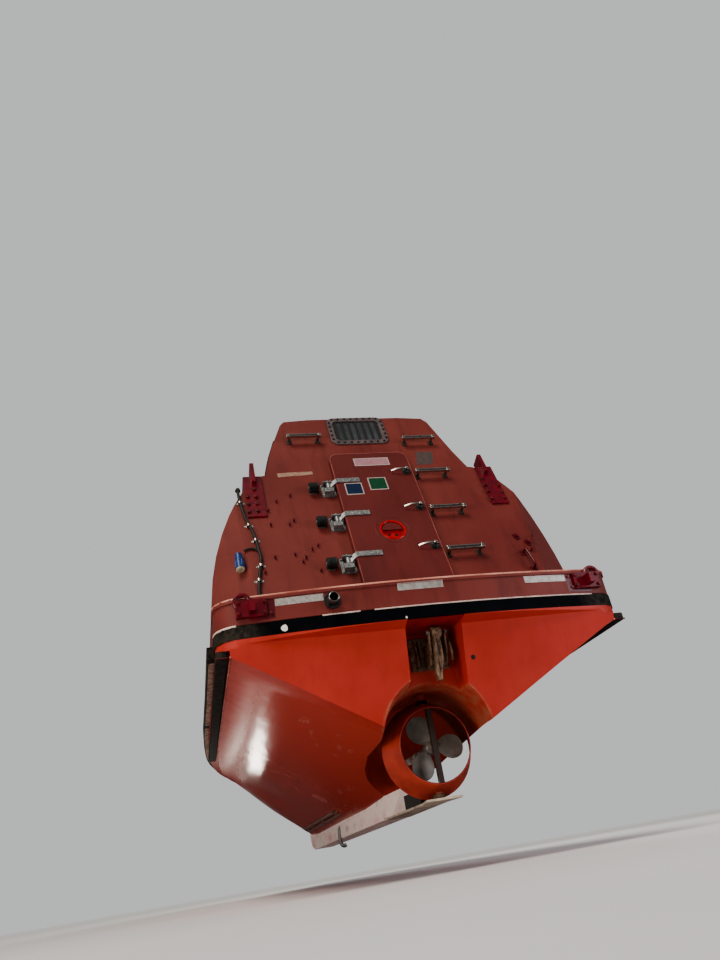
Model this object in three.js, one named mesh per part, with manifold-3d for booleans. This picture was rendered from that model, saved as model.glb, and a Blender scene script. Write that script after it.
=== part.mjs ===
import * as THREE from 'three';
import { mergeVertices } from 'three/addons/utils/BufferGeometryUtils.js';
import Module from 'manifold-3d';

// Enclosed lifeboat of the free-fall kind, in millimetres
// x points forward, y to port, z up, and the origin is amidships on the light waterline

// Main sizes
const sternX = -3200;            // top of the transom, on the centreline
const transomRake = 0.3;         // forward run of the transom for each unit down
const transomTopZ = 100;         // height at which the transom is at sternX
const sheerZ = 205;              // joint between hull and canopy
const ledgeFootZ = 82;           // underside of the gunwale ledge
const fenderFootZ = 130;         // lower edge of the rubber fender
const fenderTopZ = 204;
const hullWall = 60;             // both skins with the foam between them
const canopyWall = 50;
const flange = 70;               // gunwale ledge outside the hull side
const sternBow = 80;             // how far the ledge's outline bows aft on the centreline
const fit = 0.4;                 // gap between pieces that touch

// Aft face of the canopy, a flat plane that leans forward
const faceFootX = -2890;
const faceFootZ = 501;
const faceSlope = THREE.MathUtils.degToRad(70.2);

// Propulsion, all on one axis
const shaftZ = -485;
const nozzleAftX = -2810;
const nozzleForwardX = -2614;
const nozzleAftRadius = 214;
const nozzleForwardRadius = 277;
const nozzlePlate = 8;
const steeringX = -2690;
const propellerRadius = 198;
const hubAftX = -2742;
const hubForwardX = -2660;

// Keel and the plate under the nozzle
const keelHalf = 100;
const keelBottomZ = -766.2;      // over the plate, which is let into the keel
const keelFaceZ = -776;
const soleThick = 8.5;

// Hull stations: x, garboard half, garboard z, chine half, chine z, side half, side foot z
const hullStations = [
  [-3700, 100, -510, 800, -138, 1150, 42],
  [-2900, 100, -525, 800, -145, 1150, 42],
  [-1700, 100, -635, 800, -183, 1152, 42],
  [0, 100, -644, 795, -168, 1150, 42],
  [1000, 100, -644, 765, -138, 1092, 42],
  [1700, 100, -636, 715, -162, 972, 42],
  [2150, 95, -600, 605, -204, 852, 42],
  [2600, 85, -430, 466, -184, 682, 50],
  [2950, 65, -190, 330, -20, 490, 64],
  [3180, 40, 20, 165, 58, 250, 74],
  [3250, 25, 60, 90, 71, 135, 78],
  [3290, 10, 74, 30, 77, 45, 80],
];

// Canopy stations: x, half at the sheer, half at the shoulder, shoulder z, crown z
const canopyStations = [
  [-3300, 1216, 800, 1500, 1530],
  [-2100, 1217, 798, 1500, 1532],
  [-900, 1215, 786, 1487, 1528],
  [400, 1180, 722, 1398, 1450],
  [1100, 1108, 644, 1276, 1338],
  [1700, 1002, 552, 1130, 1192],
  [2150, 888, 446, 985, 1050],
  [2600, 728, 320, 800, 870],
  [2950, 530, 200, 615, 680],
  [3180, 292, 105, 460, 510],
  [3245, 170, 62, 400, 440],
  [3275, 66, 26, 340, 362],
];

// Side of the canopy between sheer and shoulder: share of the height, half as a share of the
// way out from the shoulder to the sheer
const canopySide = [
  [0.08, 1.0],
  [0.377, 0.95],
  [0.627, 0.76],
  [0.83, 0.46],
  [0.965, 0.17],
];

// Where sections are taken: wide apart amidships, close together at the bow
const hullPlaces = [-3700, -2900, -2300, -1700, -1100, -500, 0, 400, 700, 1000, 1250, 1500, 1700, 1950,
  2150, 2380, 2600, 2780, 2950, 3070, 3180, 3220, 3250, 3290];
const canopyPlaces = [-3300, -2700, -2100, -1500, -900, -450, 0, 400, 750, 1100, 1400, 1700, 1950, 2150,
  2380, 2600, 2780, 2950, 3070, 3180, 3215, 3245, 3275];

// Tower rings: z, aft half, forward half, forward x
const towerRings = [
  [1330, 838, 790, -930],
  [2050, 651, 560, -1470],
  [2094, 618, 525, -1510],
  [2112, 420, 340, -1700],
];
const towerAftX = -3300;

// Curve of the tunnel around the propeller: x, radius, shift to port
const tunnelProfile = [
  [-3600, 340, 50],
  [-3130, 336, 44],
  [-3060, 324, 34],
  [-2900, 317, 14],
  [-2780, 315, 2],
  [-2370, 314, 0],
  [-2120, 285, 0],
  [-1940, 245, 0],
  [-1760, 170, 0],
  [-1690, 60, 0],
];

const wasm = await Module();
wasm.setup();

// Finishes
const paint = (color, roughness = 0.45, metalness = 0) =>
  new THREE.MeshStandardMaterial({ color, roughness, metalness });
const orange = paint('#c8321a');
const fadedOrange = paint('#a83a28', 0.55);
const crimson = paint('#9c1622', 0.4);
const rubber = paint('#15161a', 0.75);
const pale = paint('#d8c8c0', 0.5);
const steel = paint('#8d8f90', 0.45, 0.9);
const stainless = paint('#b9bcc0', 0.3, 1);
const rusty = paint('#7a5a3c', 0.85, 0.4);
const bronze = paint('#3a3836', 0.5, 0.7);
const glass = paint('#20282c', 0.1);
const cream = paint('#cfc7b4', 0.6);
const greyPaint = paint('#6d7276', 0.5, 0.3);

const lifeboat = new THREE.Group();
lifeboat.name = 'enclosed_lifeboat';

// The aft face has a frame of its own: x up the slope, y to port, z out of the face
const aftFace = new THREE.Group();
aftFace.position.set(faceFootX, 0, faceFootZ);
aftFace.rotation.y = -faceSlope;
aftFace.updateMatrix();
lifeboat.add(aftFace);

function addPiece(name, shape, material, parent = lifeboat) {
  const geometry = shape.isBufferGeometry ? shape : geometryOf(shape);
  const mesh = new THREE.Mesh(geometry, material);
  mesh.name = name;
  parent.add(mesh);
  return mesh;
}

function solidOf(geometry) {
  const bare = geometry.clone();
  bare.deleteAttribute('normal');
  bare.deleteAttribute('uv');
  const merged = mergeVertices(bare, 1e-3);
  return new wasm.Manifold(new wasm.Mesh({
    numProp: 3,
    vertProperties: new Float32Array(merged.attributes.position.array),
    triVerts: new Uint32Array(merged.index.array),
  }));
}

function geometryOf(solid) {
  const found = solid.getMesh();
  const geometry = new THREE.BufferGeometry();
  geometry.setAttribute('position', new THREE.BufferAttribute(found.vertProperties, 3));
  geometry.setIndex(new THREE.BufferAttribute(found.triVerts, 1));
  return geometry;
}

// A body through rings of equally many points, closed at both ends
function loft(rings) {
  const count = rings[0].length;
  const points = rings.flat();
  const faces = [];
  for (let ring = 0; ring + 1 < rings.length; ring += 1) {
    for (let j = 0; j < count; j += 1) {
      const a = ring * count + j;
      const b = ring * count + (j + 1) % count;
      faces.push(a, b, a + count, b, b + count, a + count);
    }
  }
  const caps = [[0, false], [rings.length - 1, true]];
  for (const [ring, last] of caps) {
    const middle = rings[ring].reduce((sum, p) => sum.map((v, k) => v + p[k] / count), [0, 0, 0]);
    points.push(middle);
    for (let j = 0; j < count; j += 1) {
      const a = ring * count + j;
      const b = ring * count + (j + 1) % count;
      faces.push(...(last ? [a, b, points.length - 1] : [b, a, points.length - 1]));
    }
  }
  const geometry = new THREE.BufferGeometry();
  geometry.setAttribute('position', new THREE.Float32BufferAttribute(points.flat(), 3));
  geometry.setIndex(facesOutward(points, faces));
  return geometry;
}

function facesOutward(points, faces) {
  let volume = 0;
  for (let i = 0; i < faces.length; i += 3) {
    const [a, b, c] = [0, 1, 2].map((k) => new THREE.Vector3(...points[faces[i + k]]));
    volume += a.dot(b.cross(c));
  }
  return volume > 0 ? faces : faces.reverse();
}

// Ring across the boat at x, from its port half, bottom to top
function crossRing(x, half) {
  const port = half.map(([y, z]) => [x, y, z]);
  const starboard = half.filter(([y]) => y > 0).map(([y, z]) => [x, -y, z]);
  return [...port, ...starboard.reverse()];
}

function box(from, to) {
  const size = to.map((v, k) => v - from[k]);
  const geometry = new THREE.BoxGeometry(...size);
  return geometry.translate(...from.map((v, k) => v + size[k] / 2));
}

function solidBox(from, to) {
  return solidOf(box(from, to));
}

// Rod along one axis between two places on it
function rod(axis, radius, from, to, centre, sides = 16) {
  const geometry = new THREE.CylinderGeometry(radius, radius, to - from, sides);
  if (axis === 'x') geometry.rotateZ(-Math.PI / 2);
  if (axis === 'z') geometry.rotateX(Math.PI / 2);
  const place = [...centre];
  place['xyz'.indexOf(axis)] = (from + to) / 2;
  return geometry.translate(...place);
}

// Every column of a table at a place between its rows, on smooth curves through the rows
function between(rows, place) {
  const last = rows.length - 2;
  const k = Math.min(Math.max(rows.findLastIndex(([x]) => x <= place), 0), last);
  const run = (i) => rows[i + 1][0] - rows[i][0];
  const rise = (i, column) => (rows[i + 1][column] - rows[i][column]) / run(i);
  const slope = (i, column) => {
    if (i === 0) return rise(0, column);
    if (i > last) return rise(last, column);
    return (rise(i - 1, column) * run(i) + rise(i, column) * run(i - 1)) / (run(i - 1) + run(i));
  };
  const s = (place - rows[k][0]) / run(k);
  return rows[k].map((value, column) => {
    if (column === 0) return place;
    const bend = run(k) * ((s ** 3 - 2 * s ** 2 + s) * slope(k, column) + (s ** 3 - s ** 2) * slope(k + 1, column));
    return value + (3 * s ** 2 - 2 * s ** 3) * (rows[k + 1][column] - value) + bend;
  });
}

// Smooth line through points, by distance along them, with steps between each two
function smoothLine(points, steps) {
  const rows = [];
  let along = 0;
  points.forEach((point, k) => {
    if (k > 0) along += Math.hypot(point[0] - points[k - 1][0], point[1] - points[k - 1][1]);
    rows.push([along, ...point]);
  });
  const line = [];
  for (let k = 0; k + 1 < rows.length; k += 1) {
    for (let i = 0; i < steps; i += 1) {
      line.push(between(rows, rows[k][0] + (rows[k + 1][0] - rows[k][0]) * i / steps).slice(1));
    }
  }
  return [...line, points.at(-1)];
}

// Body of revolution about the shaft line, profile as x and radius
function turned(profile, sides) {
  const outline = profile.map(([x, radius]) => new THREE.Vector2(radius, x));
  const geometry = new THREE.LatheGeometry(outline, sides);
  geometry.rotateZ(-Math.PI / 2);
  return geometry.translate(0, 0, shaftZ);
}

// What is left of a piece once a neighbour and a thin gap around it are taken away
function clearOf(piece, neighbour, gap = fit) {
  const shifts = [[gap, 0, 0], [-gap, 0, 0], [0, gap, 0], [0, -gap, 0], [0, 0, gap], [0, 0, -gap]];
  const left = shifts.reduce((rest, shift) => rest.subtract(neighbour.translate(shift)), piece);
  return mainBody(left);
}

function mainBody(solid) {
  return solid.decompose().sort((a, b) => b.volume() - a.volume())[0];
}

function union(pieces) {
  return pieces.map((piece) => (piece.isBufferGeometry ? solidOf(piece) : piece))
    .reduce((sum, piece) => sum.add(piece));
}

// Flat plate from an outline in x and y, with its height along z
function plate(outline, fromZ, toZ) {
  const shape = new THREE.Shape(outline.map(([x, y]) => new THREE.Vector2(x, y)));
  const geometry = new THREE.ExtrudeGeometry(shape, { depth: toZ - fromZ, bevelEnabled: false });
  return geometry.translate(0, 0, fromZ);
}

function roundedOutline(halfX, halfY, radius, x = 0, y = 0, steps = 4) {
  const points = [];
  const corners = [[1, 1, 0], [-1, 1, 1], [-1, -1, 2], [1, -1, 3]];
  for (const [sx, sy, quarter] of corners) {
    for (let i = 0; i <= steps; i += 1) {
      const angle = (quarter + i / steps) * Math.PI / 2;
      points.push([
        x + sx * (halfX - radius) + radius * Math.cos(angle),
        y + sy * (halfY - radius) + radius * Math.sin(angle),
      ]);
    }
  }
  return points;
}

const onFace = (geometry) => geometry.applyMatrix4(aftFace.matrix);

// Everything aft of the face and of its two corner facets, moved in by a wall
const facetStartY = 950;
const facetTurn = THREE.MathUtils.degToRad(36);
const facetLean = THREE.MathUtils.degToRad(5.7);
function aftCutters(inset) {
  const far = 3000;
  const cutters = [onFace(box([-far, -far, -inset], [far, far, far]))];
  for (const side of [1, -1]) {
    const wide = side > 0 ? [0, far] : [-far, 0];
    const corner = box([-far, wide[0], -inset], [far, wide[1], far]);
    corner.rotateX(-facetTurn * side);
    corner.rotateZ(facetLean * side);
    corner.translate(0, facetStartY * side, 0);
    cutters.push(onFace(corner));
  }
  return union(cutters);
}

// Hull, with its wall taken out of the middle
const recessHalf = 169;          // for the release hook, open below into the tunnel
const recessFootZ = -230;
const recessBackX = -2945;

// The ledge narrows with the side where that comes close to the centreline
const flangeFullHalf = 150;
const ledgeHalf = (sideHalf) => sideHalf + flange * Math.min(1, sideHalf / flangeFullHalf);

function hullHalf(station, wall) {
  const [, garboardHalf, garboardZ, chineHalf, chineZ, sideHalf, sideFootZ] = station;
  if (wall === 0) {
    return [
      [0, garboardZ], ...smoothLine([[garboardHalf, garboardZ], [chineHalf, chineZ], [sideHalf, sideFootZ]], 4),
      [sideHalf, ledgeFootZ], [ledgeHalf(sideHalf), ledgeFootZ],
      [ledgeHalf(sideHalf), sheerZ], [0, sheerZ],
    ];
  }
  const up = wall * 1.2;
  return [
    [0, garboardZ + up], [garboardHalf * 0.8, garboardZ + up],
    [chineHalf - wall * 0.4, chineZ + wall], [sideHalf - wall, sideFootZ + wall * 0.5],
    [sideHalf - wall, sheerZ + 50], [0, sheerZ + 50],
  ];
}

// What lies aft of the transom, whose top turns out under the fender
function transomCutter() {
  const far = 1000;
  const side = [[sternX + transomRake * far, transomTopZ - far], [sternX, transomTopZ],
    [sternX - sternBow * 1.5, fenderFootZ + 15], [sternX - sternBow * 1.5, 2 * far],
    [sternX - far, 2 * far], [sternX - far, transomTopZ - far]];
  return solidOf(plate(side, -far * 2, far * 2).rotateX(Math.PI / 2));
}

function hullOuter() {
  return loft(hullPlaces.map((x) => crossRing(x, hullHalf(between(hullStations, x), 0))));
}

function makeHull() {
  const outer = solidOf(hullOuter());
  const cabin = hullPlaces.filter((x) => x >= -1700 && x <= 2950)
    .map((x) => crossRing(x, hullHalf(between(hullStations, x), hullWall)));
  cabin[0] = cabin[0].map(([, y, z]) => [-1600, y, z]);
  const aftPeak = [-2830, -1590].map((x) => crossRing(x, [
    [0, -70], [720, -70], [1050, 95], [1085, sheerZ + 50], [0, sheerZ + 50],
  ]));
  const recess = box([sternX - 200, -recessHalf, recessFootZ], [recessBackX, recessHalf, fenderFootZ + 20]);
  const turns = Array.from({ length: 48 }, (_, i) => (i / 48) * 2 * Math.PI);
  const tunnel = loft(tunnelProfile.map(([x, radius, shift]) => (
    turns.map((turn) => [x, shift + radius * Math.sin(turn), shaftZ + radius * Math.cos(turn)]))));
  return [transomCutter(), ...[loft(cabin), loft(aftPeak), recess, tunnel].map(solidOf)]
    .reduce((left, cut) => left.subtract(cut), outer);
}

// Outline of the stern seen from above, bowed aft and round at both corners
const cornerRadius = 160;
function sternOutline(out, aft, endX, arcSteps = 8) {
  const points = [];
  for (const side of [1, -1]) {
    const edge = [[endX, out]];
    for (let i = 0; i <= 4; i += 1) {
      const angle = (i / 4) * Math.PI / 2;
      edge.push([
        sternX - aft + cornerRadius * (1 - Math.sin(angle)),
        out - cornerRadius * (1 - Math.cos(angle)),
      ]);
    }
    for (let i = 1; i < arcSteps / 2; i += 1) {
      const y = (out - cornerRadius) * (1 - i / (arcSteps / 2));
      edge.push([sternX - aft - sternBow * (1 - (y / (out - cornerRadius)) ** 2), y]);
    }
    const half = edge.map(([x, y]) => [x, y * side]);
    if (side > 0) points.push(...half, [sternX - aft - sternBow, 0]);
    else points.push(...half.reverse());
  }
  return points;
}

// The ledge of the hull is round at the stern corners, and set in behind the fender
function ledgeCorners(out, aft, fromZ, toZ) {
  return solidBox([-3700, -1400, fromZ], [-2860, 1400, toZ]).subtract(
    solidOf(plate(sternOutline(out, aft, -2800), 0, 500)));
}
const hull = makeHull()
  .subtract(ledgeCorners(1222, -1, ledgeFootZ - 0.5, fenderFootZ - 0.5))
  .subtract(ledgeCorners(1188, -38, fenderFootZ - 0.5, 400));
addPiece('hull_shell', hull, orange);

// Keel, with its raked aft end
const keelStepX = -1636;
const keelSide = [[-1960, -590], [-1800, keelBottomZ], [keelStepX, keelBottomZ], [keelStepX, keelFaceZ],
  [1900, keelFaceZ], [2070, -738], [2160, -645], [2160, -560]];
const keelPlan = [[-1960, -10], [-1730, -keelHalf], [2160, -keelHalf], [2160, keelHalf], [-1730, keelHalf], [-1960, 10]];
const keelBlank = solidOf(plate(keelSide, -keelHalf, keelHalf).rotateX(Math.PI / 2))
  .intersect(solidOf(plate(keelPlan, -900, -400)));
addPiece('keel', mainBody(keelBlank.subtract(solidOf(hullOuter()))).translate(0, 0, -fit), pale);

// Plate that carries the lower bearing of the nozzle
const soleTopZ = keelBottomZ - 2 * fit;
const soleEndX = keelStepX - 4;
const sole = [[-2800, -85], [-2600, -120], [soleEndX, -92], [soleEndX, 92], [-2600, 120], [-2800, 85]];
addPiece('sole_plate', plate(sole, soleTopZ - soleThick, soleTopZ), steel);

// Launching skids under the gunwale ledge, one a side
for (const [side, name] of [[1, 'port'], [-1, 'starboard']]) {
  const skid = [[-3170, 1160], [240, 1160], [240, 1198], [-3170, 1198]]
    .map(([x, y]) => [x, y * side]);
  addPiece(`launch_skid_${name}`, solidOf(plate(skid, 36, ledgeFootZ - fit)), rubber);
}

// Rubber fender, a stern piece that wraps both corners and one along each side
const sternFender = clearOf(solidOf(plate(sternOutline(1228, 0, -2860), fenderFootZ, fenderTopZ)).subtract(
  solidBox([sternX + 60, -1186, 0], [-2000, 1186, 400])), hull);
addPiece('fender_stern', sternFender, rubber);

const fenderThick = 42;
function sideFender(side) {
  const inner = [[-2850, ledgeHalf(1150) + fit]];
  for (const x of hullPlaces.filter((place) => place > -2800)) {
    inner.push([x, ledgeHalf(between(hullStations, x)[5]) + fit]);
  }
  inner.push([hullPlaces.at(-1) + fit, inner.at(-1)[1] / 2], [hullPlaces.at(-1) + fit, 2]);
  const outer = inner.map(([x, y], k) => {
    const [before, after] = [inner[Math.max(k - 1, 0)], inner[Math.min(k + 1, inner.length - 1)]];
    const [dx, dy] = [after[0] - before[0], after[1] - before[1]];
    const length = Math.hypot(dx, dy);
    return [x - fenderThick * dy / length, y + fenderThick * dx / length];
  });
  const outline = [...inner, ...outer.reverse()].map(([x, y]) => [x, y * side]);
  return plate(outline, fenderFootZ, fenderTopZ);
}
addPiece('fender_port', clearOf(solidOf(sideFender(1)), hull), rubber);
addPiece('fender_starboard', clearOf(solidOf(sideFender(-1)), hull), rubber);

// Stern coaming, the band above the fender, with a rolled top edge
const coamingTopZ = 354;
const coamingWall = 26;
function coamingShell() {
  const outer = plate(sternOutline(1222, 0, -2860), sheerZ + fit, coamingTopZ);
  const lip = plate(sternOutline(1222 + 7, 7, -2860), coamingTopZ - 20, coamingTopZ + 6);
  const inner = plate(sternOutline(1222 - coamingWall, -coamingWall, -2500), sheerZ - 10, coamingTopZ + 30);
  return union([outer, lip]).subtract(solidOf(inner));
}

// Canopy and helmsman's tower, one hollow moulding
function canopyRing(station, wall) {
  const [x, sheerHalf, shoulderHalf, shoulderZ, crownZ] = station;
  const foot = wall === 0 ? sheerZ + fit : sheerZ - 60;
  const outerHalf = sheerHalf - wall;
  const innerHalf = shoulderHalf - wall * 0.5;
  const top = shoulderZ - wall;
  const line = [[outerHalf, foot]];
  for (const [share, out] of canopySide) {
    line.push([innerHalf + (outerHalf - innerHalf) * out, sheerZ + (top - sheerZ) * share]);
  }
  line.push([innerHalf, top], [innerHalf * 0.5, top + (crownZ - shoulderZ) * 0.75], [0, crownZ - wall]);
  return crossRing(x, [[0, foot], ...smoothLine(line, 2)]);
}

function towerRing(row, wall, corner) {
  const [z, aftHalf, forwardHalf, forwardX] = row;
  const x = forwardX - wall;
  const aft = aftHalf - wall;
  const forward = forwardHalf - wall;
  const half = [[towerAftX, aft]];
  for (let i = 0; i <= 3; i += 1) {
    const angle = (i / 3) * Math.PI / 2;
    half.push([x - corner + corner * Math.sin(angle), forward - corner + corner * Math.cos(angle)]);
  }
  const port = half.map(([px, py]) => [px, py, z]);
  const starboard = half.map(([px, py]) => [px, -py, z]).reverse();
  return [...port, ...starboard];
}

const hatchCentre = [330, 0];
const hatchHalf = 300;
const hatchTopZ = 1545;

function canopyOuter() {
  const shell = loft(canopyPlaces.map((x) => canopyRing(between(canopyStations, x), 0)));
  const tower = loft(towerRings.map((row) => towerRing(row, 0, 110)));
  const coaming = plate(roundedOutline(hatchHalf + 20, hatchHalf + 20, 60, ...hatchCentre), 1300, hatchTopZ);
  return union([shell, tower, coaming]).subtract(aftCutters(0));
}

function canopyInner() {
  const places = canopyPlaces.filter((x) => x < 3100);
  const shell = loft(places.map((x) => canopyRing(between(canopyStations, x), canopyWall)));
  const tower = loft(towerRings.slice(0, 3).map(([z, a, f, x]) => (
    towerRing([z - canopyWall, a, f, x], canopyWall, 80))));
  return union([shell, tower]).subtract(aftCutters(canopyWall));
}

// Openings: the aft door, the tower windows and the roof hatch
const doorHalf = 300;
const doorTop = 1230;
const doorFoot = -130;
const windowMiddle = 1548;
const windowHalf = [133, 197];
const sideWindow = { from: -2330, to: -1700, foot: 1640, head: 1900 };
const frontWindow = { half: 400, foot: 1640, head: 1930 };

function canopyOpenings() {
  const deep = 260;
  const door = box([doorFoot + 30, -doorHalf + 36, -deep], [doorTop - 40, doorHalf - 36, 60]);
  const pane = plate(roundedOutline(...windowHalf, 40, windowMiddle, 0), -deep, 60);
  const sides = [-1, 1].map((side) => box(
    [sideWindow.from, Math.min(side * 480, side * 1000), sideWindow.foot],
    [sideWindow.to, Math.max(side * 480, side * 1000), sideWindow.head]));
  const front = box([-1750, -frontWindow.half, frontWindow.foot], [-900, frontWindow.half, frontWindow.head]);
  const hatch = plate(roundedOutline(hatchHalf - 20, hatchHalf - 20, 50, ...hatchCentre), 1200, 1700);
  return union([onFace(door), onFace(pane), ...sides, front, hatch]);
}

const canopyBody = canopyOuter();
const coaming = coamingShell();
const canopy = canopyBody.subtract(canopyInner()).subtract(canopyOpenings());
addPiece('canopy_shell', canopy, fadedOrange);
addPiece('stern_coaming', clearOf(coaming.subtract(
  solidBox([-2862, -1300, 0], [0, 1300, 900])), canopyBody), orange);

// Narrow deck between the coaming and the canopy
const deck = plate(sternOutline(1222 - coamingWall - 1, -coamingWall - 1, -2600), sheerZ + fit, sheerZ + 26);
addPiece('aft_deck', clearOf(solidOf(deck), canopyBody), orange);

// Aft window: bolted frame and its pane
const frameOutline = roundedOutline(windowHalf[0] + 32, windowHalf[1] + 32, 60, windowMiddle, 0);
const frameHole = roundedOutline(windowHalf[0] - 12, windowHalf[1] - 12, 34, windowMiddle, 0);
addPiece('aft_window_frame', solidOf(plate(frameOutline, fit, 12)).subtract(
  solidOf(plate(frameHole, -5, 20))), greyPaint, aftFace);
addPiece('aft_window_pane', solidOf(plate(
  roundedOutline(windowHalf[0] - 3, windowHalf[1] - 3, 38, windowMiddle, 0), -16, -1)), glass, aftFace);

// Tower panes follow the tower walls
function towerPane(cutter, name) {
  const skin = solidOf(loft(towerRings.map((row) => towerRing(row, 14, 100))));
  const core = solidOf(loft(towerRings.map(([z, a, f, x]) => towerRing([z, a, f, x], 28, 90))));
  addPiece(name, skin.subtract(core).intersect(cutter), glass);
}
const paneGap = 3;
for (const [side, name] of [[1, 'port'], [-1, 'starboard']]) {
  towerPane(solidBox(
    [sideWindow.from + paneGap, Math.min(side * 400, side * 1000), sideWindow.foot + paneGap],
    [sideWindow.to - paneGap, Math.max(side * 400, side * 1000), sideWindow.head - paneGap]),
  `tower_window_${name}`);
}
towerPane(solidBox(
  [-1650, -frontWindow.half + paneGap, frontWindow.foot + paneGap],
  [-900, frontWindow.half - paneGap, frontWindow.head - paneGap]), 'tower_window_front');

// Aft door: a raised panel that closes from outside, hinged along its port edge
const doorThick = 42;
const hingeY = 354;
const hingeOut = 34;
const hingeDrop = 45;
const strapHalf = 20;
const strapThick = 8;
const hingePlaces = [209, 586, 925];
const dogPlaces = [239, 615, 995];
const doorPanel = plate(
  roundedOutline((doorTop - doorFoot) / 2, doorHalf, 70, (doorTop + doorFoot) / 2, 0), 5, doorThick);
const wellPlace = [411, 0];
const handleWell = rod('z', 78, doorThick - 24, doorThick + 10, [...wellPlace, 0], 24);
addPiece('aft_door', solidOf(doorPanel).subtract(solidOf(handleWell)), fadedOrange, aftFace);

// A strap lies on the door, bends down the face past the door's edge and drops to its pin
function hingeStrap(place) {
  const low = doorThick + fit;
  const high = low + strapThick;
  const pinPlace = place - hingeDrop;
  const bend = [
    [place - strapHalf, 262], [place + strapHalf, 262], [pinPlace + strapHalf, 308], [pinPlace - strapHalf, 308],
  ];
  const across = (y, foot, top) => [
    [pinPlace - strapHalf, y, foot], [pinPlace + strapHalf, y, foot],
    [pinPlace + strapHalf, y, top], [pinPlace - strapHalf, y, top],
  ];
  return union([
    box([place - strapHalf, 120, low], [place + strapHalf, 266, high]),
    plate(bend, low, high),
    loft([across(303, low, high), across(hingeY, hingeOut - 8, hingeOut + 8)]),
    rod('x', 15, pinPlace - 24, pinPlace + 24, [0, hingeY, hingeOut]),
  ]);
}

// Forked block around the pin, and the round rubber stop beside it
function hingeBlock(place) {
  const middle = place - 58;
  const pinPlace = place - hingeDrop;
  return solidBox([middle - 54, hingeY - 29, fit], [middle + 54, hingeY + 36, hingeOut + 18])
    .subtract(solidBox([pinPlace - 29, hingeY - 60, 12], [pinPlace + 29, hingeY + 60, 200]));
}

function doorStop(place) {
  const middle = place - 58;
  return union([
    rod('y', 37, 428, 498, [middle, 0, 43], 24),
    box([middle - 24, 440, fit], [middle + 24, 486, 20]),
  ]);
}

hingePlaces.forEach((place, k) => {
  addPiece(`door_hinge_arm_${k + 1}`, hingeStrap(place), steel, aftFace);
  addPiece(`door_hinge_block_${k + 1}`, hingeBlock(place), steel, aftFace);
  addPiece(`door_stop_${k + 1}`, doorStop(place), rubber, aftFace);
});

dogPlaces.forEach((place, k) => {
  const dog = union([
    rod('z', 22, doorThick + fit, doorThick + 34, [place, -246, 0]),
    box([place - 11, -246, doorThick + 20], [place + 11, -116, doorThick + 34]),
  ]);
  addPiece(`door_dog_${k + 1}`, dog, steel, aftFace);
});

// Rungs up the aft face
const rungStand = 60;
const rungs = [0, 1, 2, 3].map((i) => [193.5 + i * 393.4, -444]);
rungs.push([1438, 447]);
rungs.forEach(([place, y], k) => {
  const half = 132;
  const rung = union([
    box([place - 15, y - half, rungStand - 10], [place + 15, y + half, rungStand + 10]),
    ...[-1, 1].map((end) => rod('z', 11, fit, rungStand, [place, y + end * (half - 24), 0], 12)),
  ]);
  addPiece(`rung_${k + 1}`, rung, stainless, aftFace);
});

// Lifting brackets: aft pair on the corners of the face, forward pair on the roof
for (const [side, name] of [[1, 'port'], [-1, 'starboard']]) {
  const aftBracket = union([
    onFace(box([640, Math.min(side * 812, side * 940), -140], [1045, Math.max(side * 812, side * 940), 14])),
    onFace(box([960, Math.min(side * 856, side * 884), -60], [1150, Math.max(side * 856, side * 884), 50])),
  ]);
  addPiece(`lifting_bracket_aft_${name}`, clearOf(aftBracket, canopyBody), crimson);
  const frontBracket = union([
    box([1180, side * 560 - 70, 1080], [1520, side * 560 + 70, 1262]),
    box([1230, side * 560 - 14, 1080], [1470, side * 560 + 14, 1410]),
  ]);
  addPiece(`lifting_bracket_forward_${name}`, clearOf(frontBracket, canopyBody), crimson);
}

// Corner towing fittings on the coaming
for (const [side, name] of [[1, 'port'], [-1, 'starboard']]) {
  const x = sternX - 8;
  const centre = side * 1020;
  const fitting = union([
    box([x - 26, centre - 85, 238], [x + 30, centre + 85, 336]),
    box([x - 90, centre - 16, 252], [x - 20, centre + 16, 312]),
    new THREE.TorusGeometry(42, 12, 10, 24).rotateY(Math.PI / 2).translate(x - 13, side * 1068, 326),
  ]);
  addPiece(`towing_fitting_${name}`, clearOf(fitting, coaming), crimson);
}

// Exhaust outlet through the coaming
addPiece('exhaust_pipe', solidOf(rod('x', 30, sternX - 130, sternX - 62, [0, 575, 280], 24)), steel);

// Release hook in the transom recess
const hookPin = [-3110, 88];
const hookMiddleY = -35;
const cheekSide = [[recessBackX - 10, -85], [-3060, -85], [-3135, 60], [-3135, 118], [-3080, 118], [recessBackX - 10, 50]];
addPiece('release_hook_base', union([
  box([recessBackX - 16, -132, -92], [recessBackX - fit, 100, 100]),
  ...[43, -53].map((y) => plate(cheekSide, -6, 6).rotateX(Math.PI / 2).translate(0, hookMiddleY + y, 0)),
]), rusty);
const hookArm = plate([[hookMiddleY - 19, 70], [-24, -190], [14, -190], [hookMiddleY + 19, 70]], -22, 22);
addPiece('release_hook', union([
  box([hookPin[0] - 30, hookMiddleY - 30, 60], [hookPin[0] + 30, hookMiddleY + 30, 116]),
  hookArm.rotateX(Math.PI / 2).rotateZ(Math.PI / 2).translate(hookPin[0] + 6, 0, 0),
]), rusty);

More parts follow.
